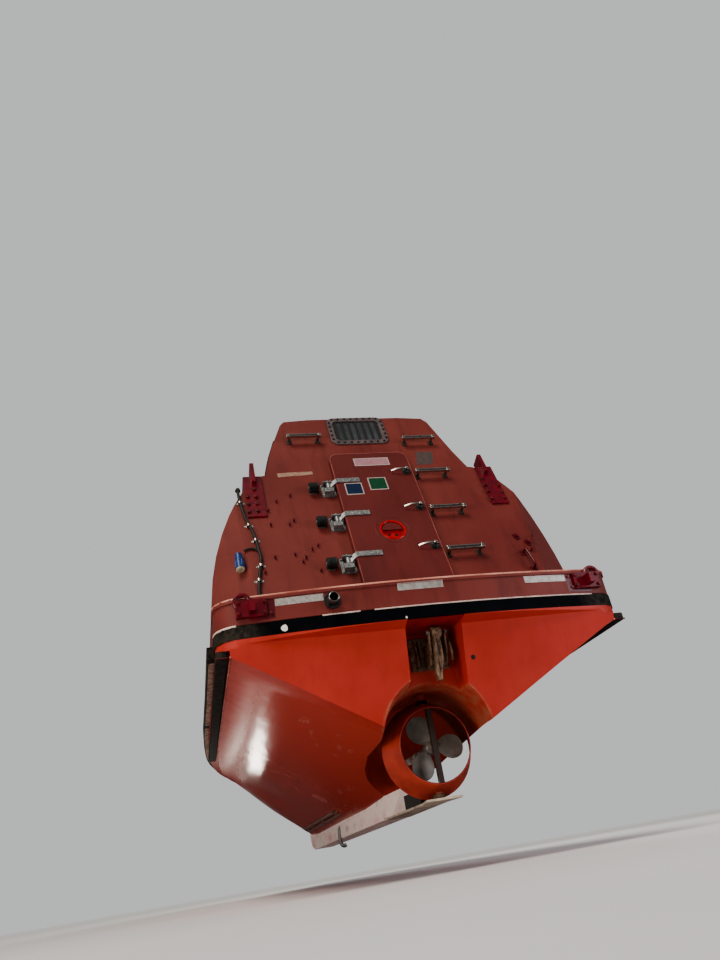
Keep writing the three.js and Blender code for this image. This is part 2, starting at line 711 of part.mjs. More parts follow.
// Steering nozzle around the propeller, with its fin and both pivots
function makeNozzle() {
  const ring = turned([
    [nozzleAftX, nozzleAftRadius], [nozzleForwardX, nozzleForwardRadius],
    [nozzleForwardX, nozzleForwardRadius - nozzlePlate], [nozzleAftX, nozzleAftRadius - nozzlePlate],
    [nozzleAftX, nozzleAftRadius],
  ], 40);
  const finHalf = 15;
  const fin = box([nozzleAftX + 4, -finHalf, shaftZ - 212], [nozzleAftX + 36, finHalf, shaftZ + 212]);
  const stock = rod('z', 22, shaftZ + 246, shaftZ + 311, [steeringX, 0, 0]);
  const foot = rod('z', 24, soleTopZ + 5, shaftZ - 244, [steeringX, 0, 0]);
  return union([ring, fin, stock, foot]);
}
addPiece('steering_nozzle', makeNozzle(), orange);

// Propeller: hub and three blades, turned about the shaft
function makePropeller() {
  const hub = turned([
    [hubAftX, 0], [hubAftX, 20], [hubAftX + 18, 34], [hubForwardX, 40], [hubForwardX, 0],
  ], 24);
  const blades = [0, 1, 2].map((k) => {
    const blade = new THREE.SphereGeometry(1, 14, 10).scale(9, 72, 88).translate(0, 0, 108);
    blade.rotateZ(THREE.MathUtils.degToRad(28));
    blade.rotateX(THREE.MathUtils.degToRad(120 * k + 220));
    return blade.translate((hubAftX + hubForwardX) / 2, 0, shaftZ);
  });
  return union([hub, ...blades]);
}
addPiece('propeller', makePropeller(), bronze);
addPiece('propeller_shaft', rod('x', 22, hubForwardX + 6, tunnelProfile.at(-1)[0] - fit, [0, 0, shaftZ]), steel);

// Roof hatch lid, hinged at its aft edge
const lidThick = 36;
const lidFootZ = hatchTopZ + 5;
const lid = plate(roundedOutline(hatchHalf + 26, hatchHalf + 26, 66, ...hatchCentre), lidFootZ,
  lidFootZ + lidThick);
addPiece('roof_hatch_lid', solidOf(lid), fadedOrange);

// Inside: floor, engine block and the two banks of seats
const floorZ = -250;
addPiece('cabin_floor', solidBox([-1560, -470, floorZ], [1640, 470, floorZ + 20]), cream);
addPiece('engine', solidBox([-1500, -260, floorZ + 24], [-760, 260, 330]), greyPaint);
for (const [side, name] of [[1, 'port'], [-1, 'starboard']]) {
  const inner = side * 300;
  const outer = side * 900;
  const seats = [[-700, 1600, floorZ + 24, 120]];
  const banks = seats.map(([from, to, foot, top]) => box(
    [from, Math.min(inner, outer * 0.55), foot], [to, Math.max(inner, outer * 0.55), top]));
  const backs = [0, 1, 2, 3].map((i) => box(
    [-660 + i * 600, Math.min(inner, outer * 0.9), 121], [-600 + i * 600, Math.max(inner, outer * 0.9), 640]));
  addPiece(`seats_${name}`, union([...banks, ...backs.map((b) => b.translate(0, 0, -6))]), cream);
}

export default lifeboat;
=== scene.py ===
import random
from functools import partial
from math import atan2, cos, dist, pi, radians, sin, sqrt

import bmesh
import bpy
from mathutils import Matrix, Vector
from mathutils.bvhtree import BVHTree


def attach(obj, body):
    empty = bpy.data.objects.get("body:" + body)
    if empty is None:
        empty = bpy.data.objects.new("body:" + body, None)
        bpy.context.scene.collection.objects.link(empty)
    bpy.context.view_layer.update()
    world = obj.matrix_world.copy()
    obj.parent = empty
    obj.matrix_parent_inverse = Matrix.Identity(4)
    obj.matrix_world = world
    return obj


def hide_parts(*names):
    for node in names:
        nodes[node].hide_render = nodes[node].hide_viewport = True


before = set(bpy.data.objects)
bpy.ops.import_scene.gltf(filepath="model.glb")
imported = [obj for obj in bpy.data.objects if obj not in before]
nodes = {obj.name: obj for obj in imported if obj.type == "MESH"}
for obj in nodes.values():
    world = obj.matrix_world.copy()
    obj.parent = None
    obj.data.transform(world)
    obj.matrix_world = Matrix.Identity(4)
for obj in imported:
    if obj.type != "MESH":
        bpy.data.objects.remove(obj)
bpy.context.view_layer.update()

# Camera, low under the stern and a little to port, as the photograph was taken
photoCamera = {
    "place": (-7.089, 1.366, -1.052),
    "right": (-0.18719, -0.97020, -0.15384),
    "up": (-0.48759, -0.04419, 0.87196),
    "forward": (0.85277, -0.23823, 0.46479),
    "lens": 27.456,
    "sensor": 36.0,
    "nearest": 0.02,
}


def placed(name, data):
    # an object of the scene
    thing = bpy.data.objects.new(name, data)
    bpy.context.scene.collection.objects.link(thing)
    return thing


def makeCamera(look):
    data = bpy.data.cameras.new("photoCamera")
    data.lens = look["lens"]
    data.sensor_width = look["sensor"]
    data.clip_start = look["nearest"]
    cameraObject = placed("photoCamera", data)
    right, up, forward = Vector(look["right"]), Vector(look["up"]), Vector(look["forward"])
    turn = Matrix((right, up, -forward)).transposed().to_4x4()
    turn.translation = Vector(look["place"])
    cameraObject.matrix_world = turn
    bpy.context.scene.camera = cameraObject


makeCamera(photoCamera)
print("camera made")


# Material helpers

def linear(hexCode):
    # sRGB hex to the linear numbers that the shaders take
    values = [int(hexCode[i:i + 2], 16) / 255 for i in (1, 3, 5)]
    low, slope, offset, power = 0.04045, 12.92, 0.055, 2.4
    light = [v / slope if v <= low else ((v + offset) / (1 + offset)) ** power for v in values]
    return (*light, 1.0)


def setNode(tree, node, settings, links):
    # settings go to sockets or properties; a linked node gives its first live output
    for key, value in (settings or {}).items():
        if isinstance(value, str) and value.startswith("#"):
            value = linear(value)
        if isinstance(key, int) or key in node.inputs:
            node.inputs[key].default_value = value
        else:
            setattr(node, key, value)
    for key, source in (links or {}).items():
        if isinstance(source, bpy.types.Node):
            source = next(output for output in source.outputs if output.enabled)
        tree.links.new(source, node.inputs[key])


# what a kind of node is set to where nothing else is said: every mix is one of colours
usual = {
    "Mix": {"data_type": "RGBA"},
    "TexNoise": {"Detail": 5, "Roughness": 0.55},
    "Bump": {"Strength": 0.5},
}


def addNode(tree, kind, settings=None, links=None):
    # a shader node's kind is named without its first words
    node = tree.nodes.new(kind if "Node" in kind else "ShaderNode" + kind)
    setNode(tree, node, {**usual.get(kind, {}), **(settings or {})}, links)
    return node


def startMaterial(name, colour, roughness, metallic=0.0, ior=1.5):
    # a Principled material, what adds nodes to it, and the place on the part in metres
    material = bpy.data.materials.new(name)
    material.use_nodes = True
    tree = material.node_tree
    settings = {"Base Color": colour, "Roughness": roughness, "Metallic": metallic, "IOR": ior}
    setNode(tree, tree.nodes["Principled BSDF"], settings, None)
    add = partial(addNode, tree)
    return material, add, add("TexCoord").outputs["Object"]


def endMaterial(material, links, settings=None):
    # joins the patterns to the shader, whose single values are set on its own sockets
    tree = material.node_tree
    setNode(tree, tree.nodes["Principled BSDF"], settings, links)
    return material


def perMetre(millimetres):
    # noise scale for a pattern whose patches are this many millimetres across
    return 1000.0 / millimetres


# The propeller's axis, and the middle of the nozzle's wall: its aft end, radius there and flare going forward
shaftZ = -0.485
nozzleWall = {"aft": -2.810, "radius": 0.2100, "flare": 0.3214, "half": 0.0008}
# The tunnel around it: where its bend and its mouth start, how far it leans to port and widens going aft
tunnel = {"bend": -2.78, "lean": 0.126, "widens": 0.06, "radius": (0.3215, 0.3185), "end": (-2.34, -2.38)}


def gelcoatHull():
    # Polyester gelcoat on moulded glass fibre: deep orange red, semi-gloss, chalked by the sun
    material, add, where = startMaterial("gelcoatHullOrangeRed", "#ac3a31", 0.4)
    x, y, z = add("SeparateXYZ", None, {0: where}).outputs
    cloud = add("TexNoise", {"Scale": perMetre(420)}, {"Vector": where})
    mask = add("MapRange", {"From Min": 0.35, "From Max": 0.65}, {"Value": cloud})
    colour = add("Mix", {6: "#a8372e", 7: "#b44036"}, {0: mask})
    drawn = add("Mapping", {"Scale": (1, 1, 0.06)}, {"Vector": where})
    streak = add("TexNoise", {"Scale": perMetre(60), "Detail": 3, "Roughness": 0.6}, {"Vector": drawn})
    mask = add("MapRange", {"From Min": 0.5, "From Max": 0.72, "To Max": 0.35}, {"Value": streak})
    colour = add("Mix", {7: "#9a342d"}, {0: mask, 6: colour})
    # below the chine the bottom is duller and carries pale marks, partly rubbed by the launch skids and
    # partly painted glints of reflected light
    low = add("MapRange", {"From Min": 0.02, "From Max": -0.10}, {"Value": z})
    forward = add("MapRange", {"From Min": -3.05, "From Max": -2.85}, {"Value": x})
    bottom = add("Math", {"operation": "MULTIPLY"}, {0: low, 1: forward})
    mask = add("Math", {"operation": "MULTIPLY", 1: 0.75}, {0: bottom})
    colour = add("Mix", {7: "#ad483c"}, {0: mask, 6: colour})
    drawn = add("Mapping", {"Scale": (0.5, 1, 1)}, {"Vector": where})
    rubAndGlint = add("TexNoise", {"Scale": perMetre(160), "Detail": 7, "Roughness": 0.62, "Distortion": 0.4},
              {"Vector": drawn})
    drawn = add("Mapping", {"Scale": (0.25, 1, 1)}, {"Vector": where})
    fine = add("TexNoise", {"Scale": perMetre(12), "Roughness": 0.7}, {"Vector": drawn})
    rubAndGlint = add("MapRange", {"From Min": 0.60, "From Max": 0.72}, {"Value": rubAndGlint})
    fine = add("MapRange", {"From Min": 0.40, "From Max": 0.62, "To Max": 0.6}, {"Value": fine})
    mask = add("Math", {"operation": "MULTIPLY"}, {0: rubAndGlint, 1: fine})
    mask = add("Math", {"operation": "MULTIPLY"}, {0: mask, 1: bottom})
    colour = add("Mix", {7: "#d29a8b"}, {0: mask, 6: colour})
    # the wall of the propeller tunnel: blotchy brown at the mouth, and painted shade that darkens it nearly
    # to black further in
    aft = add("Math", {"operation": "SUBTRACT", 0: tunnel["bend"]}, {1: x})
    aft = add("Math", {"operation": "MAXIMUM", 1: 0.0}, {0: aft})
    fromAxisY = add("Math", {"operation": "MULTIPLY_ADD", 1: -tunnel["lean"]}, {0: aft, 2: y})
    fromAxisZ = add("Math", {"operation": "SUBTRACT", 1: shaftZ}, {0: z})
    fromAxis = add("CombineXYZ", None, {0: fromAxisY, 1: fromAxisZ})
    radius = add("VectorMath", {"operation": "LENGTH"}, {0: fromAxis})
    wall = add("Math", {"operation": "MULTIPLY_ADD", 1: -tunnel["widens"]}, {0: aft, 2: radius})
    first, last = tunnel["radius"]
    within = add("MapRange", {"From Min": first, "From Max": last}, {"Value": wall})
    first, last = tunnel["end"]
    before = add("MapRange", {"From Min": first, "From Max": last}, {"Value": x})
    inTunnel = add("Math", {"operation": "MULTIPLY"}, {0: within, 1: before})
    mouthBlotch = add("TexNoise", {"Scale": perMetre(70), "Roughness": 0.6}, {"Vector": where})
    mouthBlotch = add("MapRange", {"From Min": 0.35, "From Max": 0.6}, {"Value": mouthBlotch})
    mask = add("Math", {"operation": "MULTIPLY"}, {0: inTunnel, 1: mouthBlotch})
    colour = add("Mix", {7: "#a8604a"}, {0: mask, 6: colour})
    # painted shade: darker going into the tunnel and towards its top
    deep = add("MapRange", {"From Min": -2.80, "From Max": -2.45}, {"Value": x})
    high = add("MapRange", {"From Min": -0.64, "From Max": -0.42, "To Max": 0.8}, {"Value": z})
    mask = add("Math", {"operation": "MULTIPLY"}, {0: inTunnel, 1: deep})
    mask = add("Math", {"operation": "MULTIPLY"}, {0: mask, 1: high})
    colour = add("Mix", {7: "#3a1512"}, {0: mask, 6: colour})
    # the bottom is polished by the slipway, where the light glints
    dull = add("TexNoise", {"Scale": perMetre(90)}, {"Vector": where})
    dull = add("MapRange", {"To Min": 0.40, "To Max": 0.58}, {"Value": dull})
    worn = add("Math", {"operation": "MULTIPLY_ADD", 1: -0.72, 2: 1.0}, {0: bottom})
    rough = add("Math", {"operation": "MULTIPLY"}, {0: dull, 1: worn})
    # long soft waves of the mould under fine orange peel
    drawn = add("Mapping", {"Scale": (0.35, 1, 1)}, {"Vector": where})
    wave = add("TexNoise", {"Scale": perMetre(260), "Detail": 2, "Roughness": 0.5}, {"Vector": drawn})
    wave = add("Bump", {"Distance": 0.007, "Strength": 0.6}, {"Height": wave})
    drawn = add("Mapping", {"Scale": (0.4, 1, 1)}, {"Vector": where})
    ripple = add("TexNoise", {"Scale": perMetre(75), "Detail": 3, "Roughness": 0.5}, {"Vector": drawn})
    ripple = add("Bump", {"Distance": 0.0019, "Strength": 0.6}, {"Height": ripple, "Normal": wave})
    peel = add("TexNoise", {"Scale": perMetre(7), "Detail": 3}, {"Vector": where})
    peel = add("Bump", {"Distance": 0.0002}, {"Height": peel, "Normal": ripple})
    links = {"Base Color": colour, "Roughness": rough, "Normal": peel}
    return endMaterial(material, links, {"Specular IOR Level": 0.2})


def gelcoatCanopy(name, low, high):
    # The same gelcoat on the canopy, darker than the hull's: partly faded to brick and dulled by salt and
    # soot, partly painted shade
    material, add, where = startMaterial(name, low, 0.5)
    cloud = add("TexNoise", {"Scale": perMetre(520), "Detail": 4, "Roughness": 0.45}, {"Vector": where})
    mask = add("MapRange", {"From Min": 0.3, "From Max": 0.72}, {"Value": cloud})
    colour = add("Mix", {6: low, 7: high}, {0: mask})
    drawn = add("Mapping", {"Scale": (0.2, 1, 0.2)}, {"Vector": where})
    run = add("TexNoise", {"Scale": perMetre(75), "Detail": 4, "Roughness": 0.6}, {"Vector": drawn})
    mask = add("MapRange", {"From Min": 0.5, "From Max": 0.75, "To Max": 0.4}, {"Value": run})
    colour = add("Mix", {7: "#451718"}, {0: mask, 6: colour})
    fleck = add("TexNoise", {"Scale": perMetre(5), "Detail": 2, "Roughness": 0.5}, {"Vector": where})
    mask = add("MapRange", {"From Min": 0.68, "From Max": 0.76, "To Max": 0.35}, {"Value": fleck})
    colour = add("Mix", {7: "#c07a68"}, {0: mask, 6: colour})
    dull = add("TexNoise", {"Scale": perMetre(120)}, {"Vector": where})
    rough = add("MapRange", {"To Min": 0.42, "To Max": 0.66}, {"Value": dull})
    wave = add("TexNoise", {"Scale": perMetre(300), "Detail": 2}, {"Vector": where})
    wave = add("Bump", {"Distance": 0.005}, {"Height": wave})
    peel = add("TexNoise", {"Scale": perMetre(6), "Detail": 3}, {"Vector": where})
    peel = add("Bump", {"Distance": 0.0002}, {"Height": peel, "Normal": wave})
    links = {"Base Color": colour, "Roughness": rough, "Normal": peel}
    return endMaterial(material, links, {"Specular IOR Level": 0.3})


def brushedPaint(name, colour, deep, roughness):
    # Enamel brushed over steel or plastic: thick glossy coat with brush marks and thin edges
    material, add, where = startMaterial(name, colour, roughness)
    cloud = add("TexNoise", {"Scale": perMetre(45)}, {"Vector": where})
    mask = add("MapRange", {"From Min": 0.35, "From Max": 0.68}, {"Value": cloud})
    shade = add("Mix", {6: colour, 7: deep}, {0: mask})
    dull = add("TexNoise", {"Scale": perMetre(20), "Detail": 4}, {"Vector": where})
    rough = add("MapRange", {"To Min": roughness - 0.1, "To Max": roughness + 0.12}, {"Value": dull})
    # brush marks about 3 mm apart
    drawn = add("Mapping", {"Scale": (1, 0.2, 0.2)}, {"Vector": where})
    brush = add("TexNoise", {"Scale": perMetre(3), "Detail": 2, "Roughness": 0.5}, {"Vector": drawn})
    brush = add("Bump", {"Distance": 0.00025, "Strength": 0.6}, {"Height": brush})
    return endMaterial(material, {"Base Color": shade, "Roughness": rough, "Normal": brush})


def fenderRubber():
    # Extruded black EPDM rubber: satin, greyed by ozone, salt and rope at the quarters
    material, add, where = startMaterial("rubberFenderBlack", "#04060a", 0.62)
    cloud = add("TexNoise", {"Scale": perMetre(90), "Detail": 6}, {"Vector": where})
    mask = add("MapRange", {"From Min": 0.4, "From Max": 0.7}, {"Value": cloud})
    colour = add("Mix", {6: "#020409", 7: "#070a11"}, {0: mask})
    side = add("SeparateXYZ", None, {0: where}).outputs["Y"]
    side = add("Math", {"operation": "ABSOLUTE"}, {0: side})
    quarter = add("MapRange", {"From Min": 0.93, "From Max": 1.06}, {"Value": side})
    grime = add("TexNoise", {"Scale": perMetre(30), "Detail": 6, "Roughness": 0.65}, {"Vector": where})
    grime = add("MapRange", {"From Min": 0.3, "From Max": 0.6}, {"Value": grime})
    mask = add("Math", {"operation": "MULTIPLY"}, {0: quarter, 1: grime})
    colour = add("Mix", {7: "#39332d"}, {0: mask, 6: colour})
    dull = add("TexNoise", {"Scale": perMetre(15), "Detail": 4}, {"Vector": where})
    rough = add("MapRange", {"To Min": 0.5, "To Max": 0.8}, {"Value": dull})
    skin = add("TexNoise", {"Scale": perMetre(18), "Detail": 6}, {"Vector": where})
    skin = add("Bump", {"Distance": 0.0012, "Strength": 0.6}, {"Height": skin})
    links = {"Base Color": colour, "Roughness": rough, "Normal": skin}
    return endMaterial(material, links, {"Specular IOR Level": 0.08})


def keelPaint():
    # Pale antifouling rubbed off the keel band down to grey filler
    material, add, where = startMaterial("antifoulingPaintPale", "#ecd8cf", 0.55)
    drawn = add("Mapping", {"Scale": (0.4, 1, 1)}, {"Vector": where})
    smudge = add("TexNoise", {"Scale": perMetre(130), "Detail": 6, "Roughness": 0.6}, {"Vector": drawn})
    mask = add("MapRange", {"From Min": 0.5, "From Max": 0.66}, {"Value": smudge})
    colour = add("Mix", {6: "#fbeae2", 7: "#efc2b5"}, {0: mask})
    drawn = add("Mapping", {"Scale": (0.3, 1, 1)}, {"Vector": where})
    fine = add("TexNoise", {"Scale": perMetre(9), "Roughness": 0.7}, {"Vector": drawn})
    bare = add("MapRange", {"From Min": 0.40, "From Max": 0.30}, {"Value": smudge})
    broken = add("MapRange", {"From Min": 0.38, "From Max": 0.6}, {"Value": fine})
    mask = add("Math", {"operation": "MULTIPLY"}, {0: bare, 1: broken})
    colour = add("Mix", {7: "#77706c"}, {0: mask, 6: colour})
    grain = add("Bump", {"Distance": 0.0006, "Strength": 0.6}, {"Height": fine})
    return endMaterial(material, {"Base Color": colour, "Normal": grain})


def nozzlePaint():
    # Orange enamel on the steering nozzle, darkened to wine red inside as painted shade, the fin bar bare and
    # brown
    material, add, where = startMaterial("enamelNozzleOrange", "#b0331f", 0.42)
    x, y, z = add("SeparateXYZ", None, {0: where}).outputs
    fromAxisZ = add("Math", {"operation": "SUBTRACT", 1: shaftZ}, {0: z})
    fromAxis = add("CombineXYZ", None, {0: y, 1: fromAxisZ})
    radius = add("VectorMath", {"operation": "LENGTH"}, {0: fromAxis})
    cloud = add("TexNoise", {"Scale": perMetre(110)}, {"Vector": where})
    mask = add("MapRange", {"From Min": 0.36, "From Max": 0.66}, {"Value": cloud})
    colour = add("Mix", {6: "#bb4a39", 7: "#9c3a2d"}, {0: mask})
    flare, half = nozzleWall["flare"], nozzleWall["half"]
    start = nozzleWall["radius"] - flare * nozzleWall["aft"]
    middle = add("Math", {"operation": "MULTIPLY_ADD", 1: flare, 2: start}, {0: x})
    past = add("Math", {"operation": "SUBTRACT"}, {0: radius, 1: middle})
    outer = add("MapRange", {"From Min": -half, "From Max": half}, {"Value": past})
    # painted shade: dark wine red inside the nozzle's wall
    colour = add("Mix", {6: "#5e1a1c"}, {0: outer, 7: colour})
    side = add("Math", {"operation": "ABSOLUTE"}, {0: y})
    thin = add("MapRange", {"From Min": 0.0175, "From Max": 0.0165}, {"Value": side})
    aft = add("MapRange", {"From Min": -2.76, "From Max": -2.77}, {"Value": x})
    within = add("MapRange", {"From Min": 0.2050, "From Max": 0.2030}, {"Value": radius})
    bar = add("Math", {"operation": "MULTIPLY"}, {0: thin, 1: aft})
    bar = add("Math", {"operation": "MULTIPLY"}, {0: bar, 1: within})
    colour = add("Mix", {7: "#3a2c26"}, {0: bar, 6: colour})
    coat = add("TexNoise", {"Scale": perMetre(25), "Detail": 4}, {"Vector": where})
    coat = add("Bump", {"Distance": 0.0008}, {"Height": coat})
    return endMaterial(material, {"Base Color": colour, "Normal": coat})


def galvanised():
    # Hot-dip galvanised steel: matt grey zinc with spangle about 12 mm across and white bloom
    material, add, where = startMaterial("galvanisedSteelDipped", "#a5a8a9", 0.45, 0.75)
    spangle = add("TexVoronoi", {"Scale": perMetre(12)}, {"Vector": where}).outputs["Color"]
    grey = add("RGBToBW", None, {0: spangle})
    colour = add("Mix", {6: "#7c7f80", 7: "#a2a4a3"}, {0: grey})
    grime = add("TexNoise", {"Scale": perMetre(22), "Detail": 6, "Roughness": 0.7}, {"Vector": where})
    mask = add("MapRange", {"From Min": 0.52, "From Max": 0.7, "To Max": 0.6}, {"Value": grime})
    colour = add("Mix", {7: "#4d463f"}, {0: mask, 6: colour})
    rough = add("MapRange", {"To Min": 0.35, "To Max": 0.6}, {"Value": grey})
    bloom = add("Bump", {"Distance": 0.0003}, {"Height": grime})
    return endMaterial(material, {"Base Color": colour, "Roughness": rough, "Normal": bloom})


def stainless():
    # Stainless 316 bar, ground along its length: bright, with patches of tea stain
    material, add, where = startMaterial("stainlessSteelGround", "#b4b0aa", 0.32, 1.0)
    drawn = add("Mapping", {"Scale": (1, 0.03, 1)}, {"Vector": where})
    grind = add("TexNoise", {"Scale": perMetre(4), "Detail": 3, "Roughness": 0.6}, {"Vector": drawn})
    stain = add("TexNoise", {"Scale": perMetre(26), "Roughness": 0.65}, {"Vector": where})
    mask = add("MapRange", {"From Min": 0.54, "From Max": 0.72}, {"Value": stain})
    colour = add("Mix", {6: "#bcb8b2", 7: "#7b6c5d"}, {0: mask})
    rough = add("MapRange", {"To Min": 0.2, "To Max": 0.42}, {"Value": grind})
    lines = add("Bump", {"Distance": 0.0001}, {"Height": grind})
    return endMaterial(material, {"Base Color": colour, "Roughness": rough, "Normal": lines})


def speckled(name, start, patches, patchMask, colours, specks, speckMask, speckColour, bump):
    # patches of two colours with finer specks of a third, which also give the relief; sizes in mm
    colour, roughness, metallic = start
    material, add, where = startMaterial(name, colour, roughness, metallic)
    size, detail, rough = patches
    patch = add("TexNoise", {"Scale": perMetre(size), "Detail": detail, "Roughness": rough},
                {"Vector": where})
    size, detail, rough = specks
    speck = add("TexNoise", {"Scale": perMetre(size), "Detail": detail, "Roughness": rough},
                {"Vector": where})
    mask = add("MapRange", {"From Min": patchMask[0], "From Max": patchMask[1]}, {"Value": patch})
    colour = add("Mix", {6: colours[0], 7: colours[1]}, {0: mask})
    low, high, most = speckMask
    mask = add("MapRange", {"From Min": low, "From Max": high, "To Max": most}, {"Value": speck})
    colour = add("Mix", {7: speckColour}, {0: mask, 6: colour})
    pits = add("Bump", {"Distance": bump[0], "Strength": bump[1]}, {"Height": speck})
    return endMaterial(material, {"Base Color": colour, "Normal": pits})


def mottled(name, start, patches, patchMask, colours, grain, bump):
    # patches of two colours over a finer grain that gives the relief; sizes in mm
    colour, roughness = start
    material, add, where = startMaterial(name, colour, roughness)
    size, detail, rough = patches
    patch = add("TexNoise", {"Scale": perMetre(size), "Detail": detail, "Roughness": rough},
                {"Vector": where})
    mask = add("MapRange", {"From Min": patchMask[0], "From Max": patchMask[1]}, {"Value": patch})
    colour = add("Mix", {6: colours[0], 7: colours[1]}, {0: mask})
    size, detail, rough = grain
    relief = add("TexNoise", {"Scale": perMetre(size), "Detail": detail, "Roughness": rough},
                 {"Vector": where})
    relief = add("Bump", {"Distance": bump[0], "Strength": bump[1]}, {"Height": relief})
    return endMaterial(material, {"Base Color": colour, "Normal": relief})


def windowPane():
    # Dark tinted polycarbonate, hazed by salt, nearly opaque from outside
    material, add, where = startMaterial("polycarbonatePaneSmoked", "#23272b", 0.22, 0.0, 1.585)
    haze = add("TexNoise", {"Scale": perMetre(150), "Detail": 3, "Roughness": 0.5}, {"Vector": where})
    mask = add("MapRange", {"From Min": 0.35, "From Max": 0.7}, {"Value": haze})
    colour = add("Mix", {6: "#363b3f", 7: "#474e51"}, {0: mask})
    rough = add("MapRange", {"To Min": 0.14, "To Max": 0.36}, {"Value": haze})
    bow = add("TexNoise", {"Scale": perMetre(45), "Detail": 2}, {"Vector": where})
    bow = add("Bump", {"Distance": 0.0001}, {"Height": bow})
    return endMaterial(material, {"Base Color": colour, "Roughness": rough, "Normal": bow})


def cabinLining():
    # Hand-laid glass fibre inside, flow-coated cream: the mat still shows through
    material, add, where = startMaterial("flowcoatLiningCream", "#c9c0a8", 0.55)
    cloud = add("TexNoise", {"Scale": perMetre(150)}, {"Vector": where})
    mask = add("MapRange", {"From Min": 0.4, "From Max": 0.7}, {"Value": cloud})
    colour = add("Mix", {6: "#cfc7b0", 7: "#aea58c"}, {0: mask})
    weave = add("TexVoronoi", {"Scale": perMetre(9)}, {"Vector": where})
    weave = add("Bump", {"Distance": 0.0008, "Strength": 0.6}, {"Height": weave})
    return endMaterial(material, {"Base Color": colour, "Normal": weave})


finishes = {
    "hull_gelcoat": gelcoatHull(),
    # darker than the hull gelcoat, partly as painted shade
    "canopy_gelcoat": gelcoatCanopy("gelcoatCanopyShadedBrick", "#682a26", "#7c3a33"),
    "keel_paint": keelPaint(),
    # Steel sole plate under the propeller: painted pale, with patches of black stain
    "plate_steel": mottled("plateSteelStained", ("#8a8178", 0.5), (60, 6, 0.65), (0.38, 0.62),
                           ("#b9aea2", "#4b4440"), (14, 5, 0.55), (0.0008, 0.6)),
    "black_rubber": fenderRubber(),
    # Powder-coated aluminium window ring, faded purple grey
    "grey_frame": mottled("powderCoatFrameGrey", ("#5a5050", 0.5), (50, 5, 0.55), (0.38, 0.66),
                          ("#625656", "#4a403f"), (4, 3, 0.55), (0.00015, 0.6)),
    "window_glass": windowPane(),
    "galvanised_steel": galvanised(),
    "stainless_steel": stainless(),
    "crimson_paint": brushedPaint("enamelBracketCrimson", "#701020", "#520b18", 0.34),
    # Forged carbon steel, galvanising worn away: tan rust over grey, pitted
    "weathered_steel": speckled("forgedSteelRusty", ("#7d6148", 0.7, 0.25), (28, 7, 0.65), (0.38, 0.62),
                                ("#8f7a63", "#5e4030"), (5, 5, 0.7), (0.56, 0.7, 1.0), "#2c211b",
                                (0.0009, 0.8)),
    # Cast manganese bronze under a worn coat of dark antifouling
    "propeller_bronze": speckled("castBronzeAntifouled", ("#5a5650", 0.5, 0.15), (60, 6, 0.55), (0.38, 0.66),
                                 ("#6f6861", "#837c72"), (8, 5, 0.7), (0.6, 0.72, 0.5), "#7d765a",
                                 (0.0004, 0.6)),
    # Engine enamel, sprayed over cast iron: satin grey with oily bloom
    "engine_grey": mottled("engineEnamelGrey", ("#6c7377", 0.4), (70, 5, 0.55), (0.4, 0.7),
                           ("#70777b", "#4c5154"), (5, 4, 0.55), (0.0004, 0.6)),
    "cabin_lining": cabinLining(),
    # two solids whose finish differs from their slot's
    "steering_nozzle": nozzlePaint(),
    # the door is darker than the canopy: painted shade
    "aft_door": gelcoatCanopy("gelcoatDoorShadedWine", "#58201f", "#682825"),
    # Moulded nitrile door stops, dusty black with a little green
    "stopRubber": mottled("rubberStopNitrile", ("#161a18", 0.6), (14, 5, 0.65), (0.45, 0.68),
                          ("#121514", "#333a36"), (14, 5, 0.65), (0.0005, 0.6)),
}
print("materials made")

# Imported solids: smooth their faces, round their edges and give them their finish

smoothAngle = radians(28)


def shadingGroup():
    # joins the triangles, then shades faces smooth between edges sharper than smoothAngle
    group = bpy.data.node_groups.new("shadeByAngle", "GeometryNodeTree")
    group.interface.new_socket("Geometry", in_out="INPUT", socket_type="NodeSocketGeometry")
    group.interface.new_socket("Geometry", in_out="OUTPUT", socket_type="NodeSocketGeometry")
    start = addNode(group, "NodeGroupInput")
    merged = addNode(group, "GeometryNodeMergeByDistance", {"Distance": 0.00002},
                     {"Geometry": start.outputs[0]})
    angle = addNode(group, "GeometryNodeInputMeshEdgeAngle")
    settings = {"data_type": "FLOAT", "operation": "GREATER_THAN", 1: smoothAngle}
    blunt = addNode(group, "FunctionNodeCompare", settings, {0: angle.outputs[0]})
    edges = addNode(group, "GeometryNodeSetMeshNormal", {"mode": "SHARPNESS", "Remove Custom": True},
                    {"Mesh": merged.outputs[0], "Edge Sharpness": blunt.outputs[0]})
    addNode(group, "NodeGroupOutput", None, {0: edges.outputs[0]})
    return group


shadeByAngle = shadingGroup()


def dress(name, rounding):
    node = nodes[name]
    slotName = node.material_slots[0].material.name.split(".")[0]
    for materialSlot in node.material_slots:
        materialSlot.material = finishes.get(name, finishes[slotName])
    node.modifiers.new("shade", "NODES").node_group = shadeByAngle
    flat = node.modifiers.new("flat", "DECIMATE")
    flat.decimate_type = "DISSOLVE"
    flat.angle_limit = radians(0.25)
    if rounding > 0:
        edge = node.modifiers.new("edge", "BEVEL")
        edge.width = rounding
        edge.segments = 2
        edge.limit_method = "ANGLE"
        edge.angle_limit = radians(32)
        edge.harden_normals = False
        edge.use_clamp_overlap = True
    normals = node.modifiers.new("normals", "WEIGHTED_NORMAL")
    normals.keep_sharp = True


